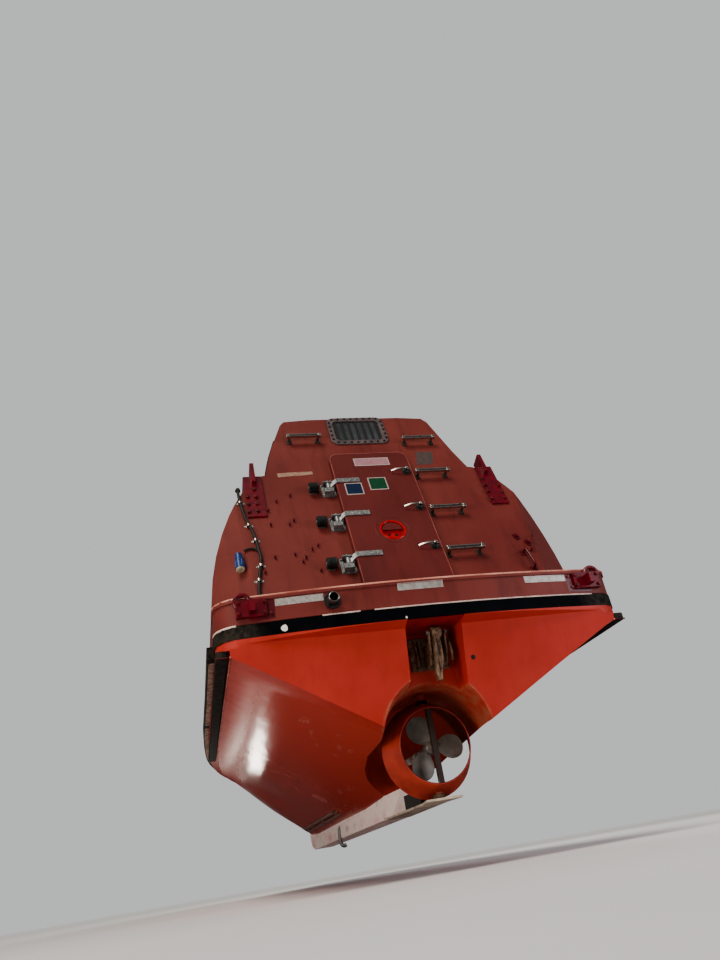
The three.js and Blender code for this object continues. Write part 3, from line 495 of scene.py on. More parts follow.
# rounding of the edges in metres, 2 mm where nothing else is said
roundings = {
    0.0: "aft_window_pane propeller",
    0.001: "exhaust_pipe propeller_shaft",
    0.0015: "sole_plate",
    0.002: "towing_fitting_port towing_fitting_starboard release_hook_base steering_nozzle",
    0.003: "stern_coaming aft_deck aft_window_frame tower_window_port tower_window_starboard "
           "tower_window_front lifting_bracket_aft_port lifting_bracket_aft_starboard "
           "lifting_bracket_forward_port lifting_bracket_forward_starboard",
    0.004: "cabin_floor",
    0.006: "hull_shell keel launch_skid_port launch_skid_starboard release_hook",
    0.008: "canopy_shell roof_hatch_lid",
    0.01: "fender_stern fender_port fender_starboard aft_door",
    0.012: "engine seats_port seats_starboard",
}
roundingOf = {name: size for size, names in roundings.items() for name in names.split()}
for name in sorted(nodes):
    dress(name, roundingOf.get(name, 0.002))
print("packed solids dressed")


# Mesh helpers: a part is a list of points and a list of faces

def prism(outline, low, high):
    # an outline in the first two axes, drawn out along the third
    count = len(outline)
    points = [(a, b, low) for a, b in outline] + [(a, b, high) for a, b in outline]
    faces = [tuple(range(count - 1, -1, -1)), tuple(range(count, 2 * count))]
    faces += [(i, (i + 1) % count, (i + 1) % count + count, i + count) for i in range(count)]
    return points, faces


def turned(profile, steps):
    # (radius, height) pairs spun about the third axis; ends are closed
    points = []
    for radius, height in profile:
        for i in range(steps):
            angle = 2 * pi * i / steps
            points.append((radius * cos(angle), radius * sin(angle), height))
    faces = []
    for row in range(len(profile) - 1):
        for i in range(steps):
            j = (i + 1) % steps
            faces.append((row * steps + i, row * steps + j, (row + 1) * steps + j, (row + 1) * steps + i))
    faces.append(tuple(range(steps - 1, -1, -1)))
    last = (len(profile) - 1) * steps
    faces.append(tuple(range(last, last + steps)))
    return points, faces


def ringed(profile, steps):
    # a closed (radius, height) loop spun about the third axis, such as a ring or a hollow pipe
    count = len(profile)
    points = []
    for i in range(steps):
        angle = 2 * pi * i / steps
        points += [(r * cos(angle), r * sin(angle), h) for r, h in profile]
    faces = []
    for i in range(steps):
        for j in range(count):
            a, b = i * count, ((i + 1) % steps) * count
            faces.append((a + j, b + j, b + (j + 1) % count, a + (j + 1) % count))
    return points, faces


def swept(path, section, closed=False, widths=None):
    # a section (list of side, up pairs) carried along a path of points
    path = [Vector(p) for p in path]
    count = len(path)
    points, normal = [], None
    for i, place in enumerate(path):
        before = path[i - 1] if i or closed else place
        after = path[(i + 1) % count] if i < count - 1 or closed else place
        ahead = (after - before).normalized()
        if normal is None:
            start = Vector((0, 0, 1)) if abs(ahead.z) < 0.9 else Vector((1, 0, 0))
            normal = (start - ahead * start.dot(ahead)).normalized()
        else:
            normal = (normal - ahead * normal.dot(ahead)).normalized()
        side = ahead.cross(normal)
        scale = widths[i] if widths else 1.0
        points += [tuple(place + (side * a + normal * b) * scale) for a, b in section]
    size = len(section)
    faces = []
    for i in range(count if closed else count - 1):
        a, b = i * size, ((i + 1) % count) * size
        faces += [(a + j, a + (j + 1) % size, b + (j + 1) % size, b + j) for j in range(size)]
    if not closed:
        faces.append(tuple(range(size - 1, -1, -1)))
        faces.append(tuple(range((count - 1) * size, count * size)))
    return points, faces


def circle(radius, steps=12):
    return [(radius * cos(2 * pi * i / steps), radius * sin(2 * pi * i / steps))
            for i in range(steps)]


def roundedBox(low, high, radius, steps=5):
    # outline of a rectangle with round corners
    (a0, b0), (a1, b1) = low, high
    corners = [(a1 - radius, b1 - radius, 0), (a0 + radius, b1 - radius, 90),
               (a0 + radius, b0 + radius, 180), (a1 - radius, b0 + radius, 270)]
    outline = []
    for a, b, first in corners:
        for i in range(steps + 1):
            angle = radians(first + 90 * i / steps)
            outline.append((a + radius * cos(angle), b + radius * sin(angle)))
    return outline


def plate(up, side, halfUp, halfSide, corner, low, high):
    # a flat plate with round corners about a middle
    outline = roundedBox((up - halfUp, side - halfSide), (up + halfUp, side + halfSide), corner)
    return prism(outline, low, high)


def moved(part, matrix):
    points, faces = part
    return [tuple(matrix @ Vector(p)) for p in points], faces


def shifted(part, x, y, z):
    return moved(part, Matrix.Translation((x, y, z)))


def joined(parts):
    points, faces = [], []
    for somePoints, someFaces in parts:
        first = len(points)
        points += somePoints
        faces += [tuple(first + i for i in face) for face in someFaces]
    return points, faces


def smoothPath(corners, steps=8):
    # a smooth curve through the given points
    corners = [Vector(c) for c in corners]
    ends = [corners[0] * 2 - corners[1]] + corners + [corners[-1] * 2 - corners[-2]]
    path = []
    for i in range(1, len(ends) - 2):
        a, b, c, d = ends[i - 1:i + 3]
        for step in range(steps):
            t = step / steps
            path.append(0.5 * ((2 * b) + (c - a) * t + (2 * a - 5 * b + 4 * c - d) * t * t
                               + (3 * b - 3 * c + d - a) * t * t * t))
    path.append(corners[-1])
    return path


def makePiece(name, part, slotName, body="root", rounding=0.0, finish=None, stands=()):
    # one object from a part, in its slot's finish or another, on the body that carries it
    mesh = bpy.data.meshes.new(name)
    mesh.from_pydata(part[0], [], part[1])
    shape = bmesh.new()
    shape.from_mesh(mesh)
    bmesh.ops.recalc_face_normals(shape, faces=shape.faces)
    for edge in shape.edges:
        edge.smooth = len(edge.link_faces) < 2 or edge.calc_face_angle(0) < smoothAngle
    for face in shape.faces:
        face.smooth = True
    shape.to_mesh(mesh)
    shape.free()
    piece = placed(name, mesh)
    mesh.materials.append(finishes[finish or slotName])
    if rounding > 0:
        edge = piece.modifiers.new("edge", "BEVEL")
        edge.width = rounding
        edge.segments = 2
        edge.limit_method = "ANGLE"
        edge.angle_limit = radians(35)
    piece.modifiers.new("normals", "WEIGHTED_NORMAL").keep_sharp = True
    if stands:
        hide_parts(*stands)
    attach(piece, body)


# The aft face of the canopy leans; its own frame is (up the face, to port, out of the face)
faceUp = Vector((0.33874, 0.0, 0.94088))
facePort = Vector((0.0, 1.0, 0.0))
faceOut = Vector((-0.94088, 0.0, 0.33874))
faceFoot = Vector((-2.890, 0.0, 0.501))


def onFace(u=0.0, y=0.0, w=0.0, turn=0.0):
    # matrix whose axes are up the face, to port and out of the face, turned about the last
    matrix = Matrix((faceUp, facePort, faceOut)).transposed().to_4x4()
    matrix.translation = faceFoot + faceUp * u + facePort * y + faceOut * w
    return matrix @ Matrix.Rotation(radians(turn), 4, "Z")


def facePiece(name, parts, *how, **more):
    # a piece from parts that are laid out on the face
    makePiece(name, moved(joined(parts), onFace()), *how, **more)


def pointing(place, out, up=(0, 0, 1)):
    # matrix at a place whose third axis points out
    out = Vector(out).normalized()
    up = Vector(up)
    first = (up - out * up.dot(out)).normalized()
    matrix = Matrix((first, out.cross(first), out)).transposed().to_4x4()
    matrix.translation = Vector(place)
    return matrix


def spun(place, degrees, axis):
    # matrix at a place, turned about one axis
    return Matrix.Translation(place) @ Matrix.Rotation(radians(degrees), 4, axis)


def fromSide(x=0.0, y=0.0, z=0.0):
    # for an outline seen from the side, as (x, z): its third axis runs to port
    return Matrix(((1, 0, 0, x), (0, 0, 1, y), (0, 1, 0, z), (0, 0, 0, 1)))


def fromAft(x=0.0, y=0.0, ahead=1):
    # for an outline seen from aft, as (y, z): its third axis runs forward, or aft where ahead is -1
    return Matrix(((0, 0, ahead, x), (1, 0, 0, y), (0, 1, 0, 0), (0, 0, 0, 1)))


def hexBolt(across, height, washer=0.0, washerThick=0.0015):
    # a bolt head across its flats, on an optional washer
    radius = across / 2 / cos(radians(30))
    lift = washerThick if washer else 0.0
    head = turned([(radius, -0.001 + lift), (radius, height * 0.8 + lift), (radius * 0.86, height + lift)], 6)
    parts = [head]
    if washer:
        disc = [(washer, -0.001), (washer, washerThick * 0.6), (washer * 0.94, washerThick)]
        parts.append(turned(disc, 18))
    return joined(parts)


print("helpers ready")

# Floor, light and world
studio = {
    "floorZ": -1.14, "floorSize": 90.0, "floorColour": "#d9dadb", "fadeFrom": 9.0, "fadeTo": 60.0,
    "flags": 0.96,
    "backdrop": "#e4e5e6", "backdropSeen": 0.66, "backdropLight": 0.20,
    "sunTurn": (38, 0, -128), "sunStrength": 2.0, "sunSpread": 30,
}


def makeStudio(look):
    size = look["floorSize"]
    mesh = bpy.data.meshes.new("floor")
    corners = [(-size, -size, 0), (size, -size, 0), (size, size, 0), (-size, size, 0)]
    mesh.from_pydata(corners, [], [(0, 1, 2, 3)])
    floor = placed("floor", mesh)
    floor.location.z = look["floorZ"]
    material, add, where = startMaterial("floorPaintPale", look["floorColour"], 0.8)
    cloud = add("TexNoise", {"Scale": perMetre(900), "Detail": 3}, {"Vector": where})
    pale = add("Mix", {6: "#d6d8da", 7: "#dfe0e1"}, {0: cloud})
    # black flags beside the boat keep the floor out of its glossy bottom
    glossy = add("LightPath").outputs["Is Glossy Ray"]
    mask = add("Math", {"operation": "MULTIPLY", 1: look["flags"]}, {0: glossy})
    colour = add("Mix", {7: "#26282c"}, {0: mask, 6: pale})
    # the floor fades into the backdrop well away from the boat, so that no edge of it shows
    length = add("VectorMath", {"operation": "LENGTH"}, {0: where})
    fade = add("MapRange", {"From Min": look["fadeTo"], "From Max": look["fadeFrom"]}, {"Value": length})
    endMaterial(material, {"Base Color": colour, "Alpha": fade}, {"Specular IOR Level": 0.0})
    mesh.materials.append(material)
    world = bpy.data.worlds.new("studio")
    world.use_nodes = True
    tree = world.node_tree
    # a pale backdrop that gives less light than it shows, as a dimmed studio wall does
    seen = addNode(tree, "LightPath").outputs["Is Camera Ray"]
    strengths = {"To Min": look["backdropLight"], "To Max": look["backdropSeen"]}
    strength = addNode(tree, "MapRange", strengths, {"Value": seen})
    setNode(tree, tree.nodes["Background"], {"Color": look["backdrop"]}, {"Strength": strength})
    bpy.context.scene.world = world
    bpy.context.scene.view_settings.view_transform = "AgX"
    bpy.context.scene.view_settings.look = "AgX - Medium High Contrast"


lamps = {
    # name: place, aimed at, width, height, watts, colour, spread, roll
    "sternLamp": ((-7.0, -5.2, 0.9), (-2.9, 0.0, -0.3), 2.4, 1.6, 142, "#f4f6ff", 180, 0),
    "portLamp": ((-6.8, 5.6, 0.10), (-2.4, 0.3, -0.5), 2.6, 1.8, 165, "#fff4ea", 180, 0),
    "glintTall": ((2.0, 1.22, -0.57), (-1.4, 0.88, -0.12), 0.14, 0.66, 0.26, "#fff6ea", 60, 50),
    "glintOuter": ((2.0, 1.41, -0.31), (-0.8, 1.06, -0.02), 0.13, 0.38, 0.14, "#fff6ea", 60, 50),
    "glintAft": ((2.0, 1.93, -0.84), (-2.6, 1.10, 0.0), 0.14, 0.26, 0.14, "#fff6ea", 60, 40),
    "cabinLamp": ((-1.15, 0.0, 1.12), (-1.6, 0.0, -0.1), 0.5, 0.5, 9, "#fff6ea", 180, 0),
    "rimLamp": ((3.5, -4.0, 5.5), (-1.5, 0.0, 1.0), 3.0, 3.0, 160, "#ffffff", 180, 0),
}


def makeLamps(rows):
    for name, (place, target, width, height, watts, colour, spread, roll) in rows.items():
        data = bpy.data.lights.new(name, "AREA")
        data.shape = "RECTANGLE"
        data.size, data.size_y = width, height
        data.energy = watts
        data.color = linear(colour)[:3]
        data.spread = radians(spread)
        lamp = placed(name, data)
        aim = (Vector(target) - Vector(place)).to_track_quat("-Z", "Y").to_matrix().to_4x4()
        lamp.matrix_world = Matrix.Translation(place) @ aim @ Matrix.Rotation(radians(roll), 4, "Z")
        lamp.visible_camera = False


def makeSun(look):
    # one wide soft light from above the port quarter, even over the whole floor
    data = bpy.data.lights.new("skyLight", "SUN")
    data.energy = look["sunStrength"]
    data.angle = radians(look["sunSpread"])
    data.color = linear("#fff5e8")[:3]
    sun = placed("skyLight", data)
    sun.rotation_euler = [radians(turn) for turn in look["sunTurn"]]


makeStudio(studio)
makeSun(studio)
makeLamps(lamps)
print("studio made")

# Extra finishes for the fitted pieces

def plainFinish(name, colour, other, roughness, size, depth, metallic=0.0):
    # a moulded, printed or sprayed surface with soft mottling of the given size in mm
    material, add, where = startMaterial(name, colour, roughness, metallic)
    cloud = add("TexNoise", {"Scale": perMetre(size), "Roughness": 0.6}, {"Vector": where})
    mask = add("MapRange", {"From Min": 0.38, "From Max": 0.66}, {"Value": cloud})
    shade = add("Mix", {6: colour, 7: other}, {0: mask})
    low, high = max(roughness - 0.1, 0.05), roughness + 0.1
    rough = add("MapRange", {"To Min": low, "To Max": high}, {"Value": cloud})
    # its relief is five times as fine
    grain = add("TexNoise", {"Scale": perMetre(size / 5), "Detail": 3}, {"Vector": where})
    grain = add("Bump", {"Distance": depth, "Strength": 0.6}, {"Height": grain})
    return endMaterial(material, {"Base Color": shade, "Roughness": rough, "Normal": grain})


def reflectiveTape():
    # Retroreflective tape: silver film over sealed cells, drawn 9 mm wide so that they show, soiled
    material, add, where = startMaterial("tapeRetroreflectiveSilver", "#a9a5a2", 0.35, 0.2)
    skewed = add("Mapping", {"Rotation": (0.3, 0.2, 0.5)}, {"Vector": where})
    cellForm = {"Scale": perMetre(9), "feature": "DISTANCE_TO_EDGE", "Randomness": 0.25}
    cells = add("TexVoronoi", cellForm, {"Vector": skewed}).outputs["Distance"]
    seam = add("MapRange", {"From Min": 0.10, "From Max": 0.03}, {"Value": cells})
    soil = add("TexNoise", {"Scale": perMetre(35), "Detail": 6, "Roughness": 0.65}, {"Vector": where})
    mask = add("MapRange", {"From Min": 0.45, "From Max": 0.72}, {"Value": soil})
    colour = add("Mix", {6: "#b4b0ad", 7: "#8a8079"}, {0: mask})
    mask = add("Math", {"operation": "MULTIPLY", 1: 0.45}, {0: seam})
    colour = add("Mix", {7: "#77706b"}, {0: mask, 6: colour})
    ridges = add("Bump", {"Distance": 0.0002}, {"Height": seam})
    return endMaterial(material, {"Base Color": colour, "Normal": ridges})


finishes.update({
    "bolt": brushedPaint("enamelBoltCrimson", "#6e1219", "#4a0b12", 0.35),
    "redWell": plainFinish("gelcoatHandleWellRed", "#c4150f", "#98100c", 0.3, 40, 0.0003),
    # black for painted shade in holes and bores
    "hole": plainFinish("paintedShadeHoleBlack", "#0c0c0d", "#171717", 0.7, 8, 0.0003),
    "tape": reflectiveTape(),
    "oldTape": plainFinish("tapeAgedTan", "#8d6c5c", "#a58a78", 0.55, 18, 0.0004),
    "ghost": plainFinish("adhesiveResidueGrey", "#443c3a", "#5a4440", 0.75, 25, 0.0003),
    "signWhite": plainFinish("vinylSignWhite", "#b9aaa6", "#a39590", 0.4, 30, 0.0001),
    "signPink": plainFinish("vinylSignPink", "#a87f86", "#97707a", 0.42, 25, 0.0001),
    "signBlue": plainFinish("vinylSignBlue", "#0a1f38", "#10294a", 0.35, 22, 0.0001),
    "signGreen": plainFinish("vinylSignGreen", "#0c4a2c", "#123c28", 0.35, 22, 0.0001),
    "cable": plainFinish("rubberCableBlack", "#141312", "#2b2622", 0.6, 12, 0.0006),
    "plug": plainFinish("polyamidePlugBlue", "#1c3f7c", "#15305f", 0.4, 20, 0.0003),
    "plugCap": plainFinish("polyamideCapCream", "#b8ab94", "#8e826e", 0.5, 14, 0.0003),
    "darkBolt": plainFinish("zincBoltDarkened", "#2c292b", "#4a4447", 0.45, 6, 0.0002, 0.6),
    # pale bead on the fender's top edge: painted highlight
    "highlightBead": plainFinish("paleBeadPaintedHighlight", "#ddc9c0", "#b79f96", 0.55, 60, 0.0004),
    # door edge: partly chalked, partly painted highlight
    "doorEdge": plainFinish("gelcoatDoorEdgeChalkedAndLit", "#9c564e", "#6a2a27", 0.5, 160, 0.0003),
    # pale pink on the rolled lip: painted highlight
    "lip": plainFinish("gelcoatLipPaintedHighlight", "#e0a390", "#9c4b40", 0.35, 300, 0.0003),
    # pale line along the side foot: painted highlight
    "paintedHighlightEdge": plainFinish("gelcoatEdgePaintedHighlight", "#cf8478", "#9c3d34", 0.6, 90, 0.0004),
    # tan band along the side fenders: painted highlight
    "fenderSheenTan": plainFinish("rubberEdgePaintedSheen", "#b39684", "#5a483e", 0.7, 28, 0.0006),
    "crimson": brushedPaint("enamelPatchCrimson", "#5f0d1a", "#470914", 0.36),
    "splash": plainFinish("paintSplashWhite", "#e4e2de", "#d0ccc4", 0.4, 12, 0.0004),
    "cooler": plainFinish("cupronickelPipeDull", "#a58f84", "#7d675c", 0.45, 40, 0.0004, 0.5),
    "gasket": plainFinish("rubberGasketBlack", "#17100f", "#261b19", 0.65, 15, 0.0003),
    "darkKnob": plainFinish("rubberKnobBlackGreen", "#151a17", "#2a332d", 0.5, 8, 0.0004),
    # dark brown, partly rust and partly painted shade
    "brownBar": plainFinish("steelBarBrownShaded", "#3b2d27", "#55423a", 0.55, 20, 0.0005, 0.3),
    # redder gelcoat for the recess ceiling: painted light bounced up into it
    "deck": plainFinish("gelcoatRecessLitRed", "#a3241c", "#871a15", 0.45, 60, 0.0003),
    # black for painted shade on fittings in hollows and under the nozzle
    "paintedShadeDark": plainFinish("paintedShadeBlack", "#16120f", "#2c241e", 0.6, 18, 0.0006),
    "scar": plainFinish("gelcoatScuffPink", "#b5635a", "#a34a42", 0.5, 25, 0.0003),
    "solePaint": plainFinish("primerSoleBuff", "#cdbfae", "#9a8a7a", 0.6, 70, 0.0005),
    "lens": plainFinish("acrylicLampClear", "#cfd6d8", "#b2bbbe", 0.15, 30, 0.0001),
})
print("extra finishes made")

def strap(path, section, rises, widths=None):
    # a flat bar: its section's first axis runs up the face, its second along each step's rise
    points, faces = [], []
    for step, (spot, rise) in enumerate(zip(path, rises)):
        width = widths[step] if widths else 1.0
        points += [tuple(spot + Vector((a * width, 0, 0)) + rise * c) for a, c in section]
        if step:
            first, last = (step - 1) * 4, step * 4
            faces += [(first + j, first + (j + 1) % 4, last + (j + 1) % 4, last + j) for j in range(4)]
    faces += [(3, 2, 1, 0), tuple(range(len(points) - 4, len(points)))]
    return points, faces


# Door hinges: cranked straps on the door, forked blocks on the canopy
hinges = {
    "places": (0.209, 0.586, 0.925), "pinSide": 0.354, "pinOut": 0.034, "pinDrop": 0.045, "blockDrop": 0.058,
    "strapHalf": 0.021, "strapThick": 0.008, "strapEnd": 0.120, "doorFace": 0.0424,
    "barrel": 0.0165, "barrelHalf": 0.024, "pinRadius": 0.007, "pinHead": 0.011, "pinHalf": 0.050,
    "plateHalf": 0.050, "plateSide": 0.050, "plateEdge": 0.012, "plateThick": 0.006, "boltSide": 0.040,
    "screw": 0.012, "screws": (0.145, 0.185, 0.235),
}


def makeHinges(look):
    half, thick = look["strapHalf"], look["strapThick"]
    level = look["doorFace"] + thick / 2
    out, side = look["pinOut"], look["pinSide"]
    section = [(-half, -thick / 2), (half, -thick / 2), (half, thick / 2), (-half, thick / 2)]
    for number, place in enumerate(look["places"], 1):
        drop = place - look["pinDrop"]
        # (up, port, out) of the strap's middle line
        line = [(place, look["strapEnd"], level), (place, 0.20, level), (place, 0.278, level),
                (place - look["pinDrop"] * 0.12, 0.296, level),
                (place - look["pinDrop"] * 0.55, 0.322, (level + out) / 2),
                (drop, side - 0.012, out), (drop, side, out)]
        path = smoothPath(line, 5)
        rises = []
        for before, after in zip(path[:1] + path[:-1], path[1:] + path[-1:]):
            ahead = (after - before).normalized()
            rise = Vector((0, -ahead.z, ahead.y)).normalized()
            rises.append(rise if rise.z > 0 else -rise)
        alongUp = spun((drop, side, out), 90, "Y")
        r, end = look["barrel"], look["barrelHalf"]
        barrel = turned([(r - 0.002, -end), (r, 0.002 - end), (r, end - 0.002), (r - 0.002, end)], 20)
        parts = [strap(path, section, rises), moved(barrel, alongUp)]
        for y in look["screws"]:
            head = turned([(look["screw"], -0.001), (look["screw"], 0.001), (look["screw"] * 0.7, 0.003)], 14)
            parts.append(shifted(head, place, y, level + thick / 2))
        facePiece(f"doorHingeStrap{number}", parts, "galvanised_steel", "door", 0.0012,
                  stands=[f"door_hinge_arm_{number}"])
        # the pin with its split end, and the foot plate with its bolts
        end, r, head = look["pinHalf"], look["pinRadius"], look["pinHead"]
        pin = turned([(0.001, -end - 0.004), (head, -end - 0.003), (head, -end + 0.001), (r, -end + 0.001),
                      (r, end), (head, end), (head, end + 0.004), (0.001, end + 0.005)], 16)
        middle, reach = place - look["blockDrop"], look["plateHalf"] + look["plateEdge"]
        foot = plate(middle, side, reach, look["plateSide"], 0.008, 0.0004, look["plateThick"])
        parts = [moved(pin, alongUp), foot]
        for du in (-look["plateHalf"], look["plateHalf"]):
            for dy in (-look["boltSide"], look["boltSide"]):
                bolt = hexBolt(0.013, 0.007, 0.010)
                parts.append(shifted(bolt, middle + du, side + dy, look["plateThick"]))
        facePiece(f"hingePinAndFoot{number}", parts, "galvanised_steel", "root", 0.0008)


makeHinges(hinges)
print("hinges made")

# Door stops: ribbed rubber barrels lying beside the hinges, each in a steel cradle
stops = {
    "places": (0.209, 0.586, 0.925), "drop": 0.058, "low": 0.4285, "high": 0.4975, "out": 0.043,
    "radius": 0.0368,
    "ribs": 5, "ribPitch": 0.012, "cradleHalf": 0.025, "cradleTop": 0.009,
}


def makeStops(look):
    radius, length = look["radius"], look["high"] - look["low"]
    inner = radius * 0.90
    profile = [(0.012, 0.002), (radius * 0.80, 0.0), (radius * 0.92, 0.004)]
    for rib in range(look["ribs"]):
        start = 0.006 + rib * look["ribPitch"]
        profile += [(inner, start), (radius, start + 0.002), (radius, start + 0.008), (inner, start + 0.010)]
    profile += [(radius * 0.92, length - 0.003), (radius * 0.80, length), (radius * 0.55, length + 0.001),
                (radius * 0.50, length - 0.004), (0.004, length - 0.004)]
    for number, place in enumerate(look["places"], 1):
        up = place - look["drop"]
        at = spun((up, look["low"], look["out"]), -90, "X")
        makePiece(f"doorStopBarrel{number}", moved(turned(profile, 36), onFace() @ at), "black_rubber",
                  finish="stopRubber", stands=[f"door_stop_{number}"])
        bolt = moved(hexBolt(0.017, 0.006, 0.013), at @ Matrix.Translation((0, 0, length - 0.004)))
        half = look["cradleHalf"]
        cradle = prism(roundedBox((up - half, look["low"] + 0.010), (up + half, look["high"] - 0.010), 0.006),
                       0.0004, look["cradleTop"])
        facePiece(f"doorStopCradle{number}", [bolt, cradle], "galvanised_steel", "root", 0.0008)


makeStops(stops)
print("door stops made")

# Door dogs: a dark boss with a bent stainless lever
dogs = {
    "places": (0.239, 0.615, 0.995), "side": -0.246, "foot": 0.0424, "boss": 0.026, "bossHeight": 0.030,
    # lever: (drop, side, out over the door's face), and its half width and half thickness
    "lever": [(0, -0.276, 0.022), (0, -0.258, 0.034), (0, -0.240, 0.038), (0, -0.205, 0.038),
              (0, -0.165, 0.030), (0.002, -0.130, 0.016)],
    "leverHalf": (0.008, 0.003), "nutOut": 0.040,
}


def makeDogs(look):
    foot, radius = look["foot"], look["boss"]
    half, thick = look["leverHalf"]
    section = [(-half, -thick), (half, -thick), (half, thick), (-half, thick)]
    for number, place in enumerate(look["places"], 1):
        boss = turned([(radius + 0.006, foot), (radius + 0.006, foot + 0.004), (radius, foot + 0.005),
                       (radius * 0.95, foot + 0.018), (radius * 0.6, foot + 0.024),
                       (radius * 0.55, foot + look["bossHeight"])], 24)
        boss = shifted(boss, place, look["side"], 0)
        facePiece(f"doorDogBoss{number}", [boss], "black_rubber", "door", 0.001, "darkKnob")
        path = smoothPath([(place - drop, side, foot + out) for drop, side, out in look["lever"]], 6)
        # widest a quarter of the way along
        widths = [1.0 - 0.45 * abs(i / (len(path) - 1) - 0.25) for i in range(len(path))]
        lever = strap(path, section, [Vector((0, 0, 1))] * len(path), widths)
        nut = shifted(hexBolt(0.017, 0.008, 0.012), place, look["side"], foot + look["nutOut"])
        facePiece(f"doorDogLever{number}", [lever, nut], "stainless_steel", "door", 0.0012,
                  stands=[f"door_dog_{number}"])


makeDogs(dogs)

# Rungs: grooved treads on two bent feet
rungs = {
    "rows": [(0.1935, -0.444), (0.5869, -0.444), (0.9803, -0.444), (1.3737, -0.444), (1.438, 0.447)],
    "half": 0.132, "out": 0.060, "depth": 0.015, "thick": 0.010, "leg": 0.009, "legInset": 0.025,
    "footLow": 0.032, "footHigh": 0.020, "grip": 0.0055, "gripInset": 0.026,
}


def makeRungs(look):
    half, out, d, t = look["half"], look["out"], look["depth"], look["thick"]
    low, high, grip = look["footLow"], look["footHigh"], look["grip"]
    # tread section (up, out): two rails with a groove between them
    section = [(-d, -t), (d, -t), (d, t), (d - 0.007, t), (d - 0.009, t - 0.007), (0.009 - d, t - 0.007),
               (0.007 - d, t), (-d, t)]
    for number, (up, side) in enumerate(look["rows"], 1):
        tread = [moved(prism(section, -half, half), fromSide(up, side, out))]
        legs = []
        for end in (-1, 1):
            # end cap, leg and foot plate
            cap = plate(up, 0, d + 0.002, 0.011, 0.004, -0.012, 0.012)
            tread.append(shifted(cap, 0, side + end * (half - 0.012), out))
            y = side + end * (half - look["legInset"])
            leg = [(up, y + end * 0.003, out - 0.006), (up - 0.004, y + end * 0.001, out - 0.026),
                   (up - 0.006, y, 0.002)]
            legs.append(swept(smoothPath(leg, 4), circle(look["leg"])))
            legs.append(prism(roundedBox((up - low, y - high), (up + high, y + high), 0.008), 0.0004, 0.005))
            for du in (-0.024, 0.012):
                legs.append(shifted(hexBolt(0.012, 0.006, 0.009), up + du, y, 0.005))
        facePiece(f"ladderRung{number}", tread, "stainless_steel", "root", 0.0012,
                  stands=[f"rung_{number}"])
        # legs and feet dark brown: partly rust, partly painted shade
        facePiece(f"rungLegs{number}", legs, "stainless_steel", "root", 0.0012, "brownBar")
        # a dark strip in the tread's groove: painted shade
        reach = half - look["gripInset"]
        groove = prism([(up - grip, side - reach), (up + grip, side - reach), (up + grip, side + reach),
                        (up - grip, side + reach)], out + 0.0026, out + 0.0036)
        facePiece(f"rungGrooveShade{number}", [groove], "black_rubber", finish="gasket")


makeRungs(rungs)
print("dogs and rungs made")

# Signs, tapes and the marks of old ones: blank plates and films
signs = {
    # name: up, side, half height, half width, finish of the field
    "signTop": (1.123, -0.013, 0.0435, 0.134, "signPink"),
    "signLeft": (0.835, 0.177, 0.061, 0.0635, "signBlue"),
    "signRight": (0.879, -0.006, 0.066, 0.068, "signGreen"),
}
signForm = {"base": 0.0420, "plate": 0.0012, "film": 0.0004, "border": 0.008, "corner": 0.004}


def makeSigns(rows, look):
    top, edge, corner = look["base"] + look["plate"], look["border"], look["corner"]
    for name, (up, side, halfUp, halfSide, field) in rows.items():
        card = plate(up, side, halfUp, halfSide, corner, look["base"], top)
        facePiece(name + "Plate", [card], "hull_gelcoat", "door", 0.0003, "signWhite")
        film = plate(up, side, halfUp - edge, halfSide - edge, corner / 2, top, top + look["film"])
        facePiece(name + "Field", [film], "hull_gelcoat", "door", finish=field)


makeSigns(signs, signForm)

oldMarks = {
    # name: corners (up, side), finish, thickness, seed, wander of the edge
    "oldSignMark": ([(1.268, -0.400), (1.114, -0.373), (1.117, -0.501), (1.261, -0.536)],
                    "ghost", 0.0009, 3, 0.004),
    "oldTapeStrip": ([(1.084, 0.691), (1.040, 0.689), (1.056, 0.433), (1.089, 0.435)],
                     "oldTape", 0.0012, 5, 0.0015),
}


def makeOldMarks(rows, steps=8):
    # films on the aft face whose edges wander a little
    for name, (corners, finish, thick, seed, wander) in rows.items():
        draw = random.Random(seed)
        outline = []
        for (u0, y0), (u1, y1) in zip(corners, corners[1:] + corners[:1]):
            for i in range(steps):
                t, shift = i / steps, wander if i else 0.0
                outline.append((u0 + (u1 - u0) * t + draw.uniform(-shift, shift),
                                y0 + (y1 - y0) * t + draw.uniform(-shift, shift)))
        facePiece(name, [prism(outline, 0.0002, thick)], "canopy_gelcoat", finish=finish)


makeOldMarks(oldMarks)
print("signs made")


def touch(name, start, direction):
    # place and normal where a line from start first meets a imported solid
    return trees[name].ray_cast(Vector(start), Vector(direction).normalized())[:2]


def solidTree(name):
    mesh = nodes[name].data
    return BVHTree.FromPolygons([v.co for v in mesh.vertices], [p.vertices for p in mesh.polygons])


trees = {name: solidTree(name) for name in ("stern_coaming", "fender_stern", "fender_port",
                                            "fender_starboard", "canopy_shell", "hull_shell")}
bothSides = ((1, "Port"), (-1, "Starboard"))


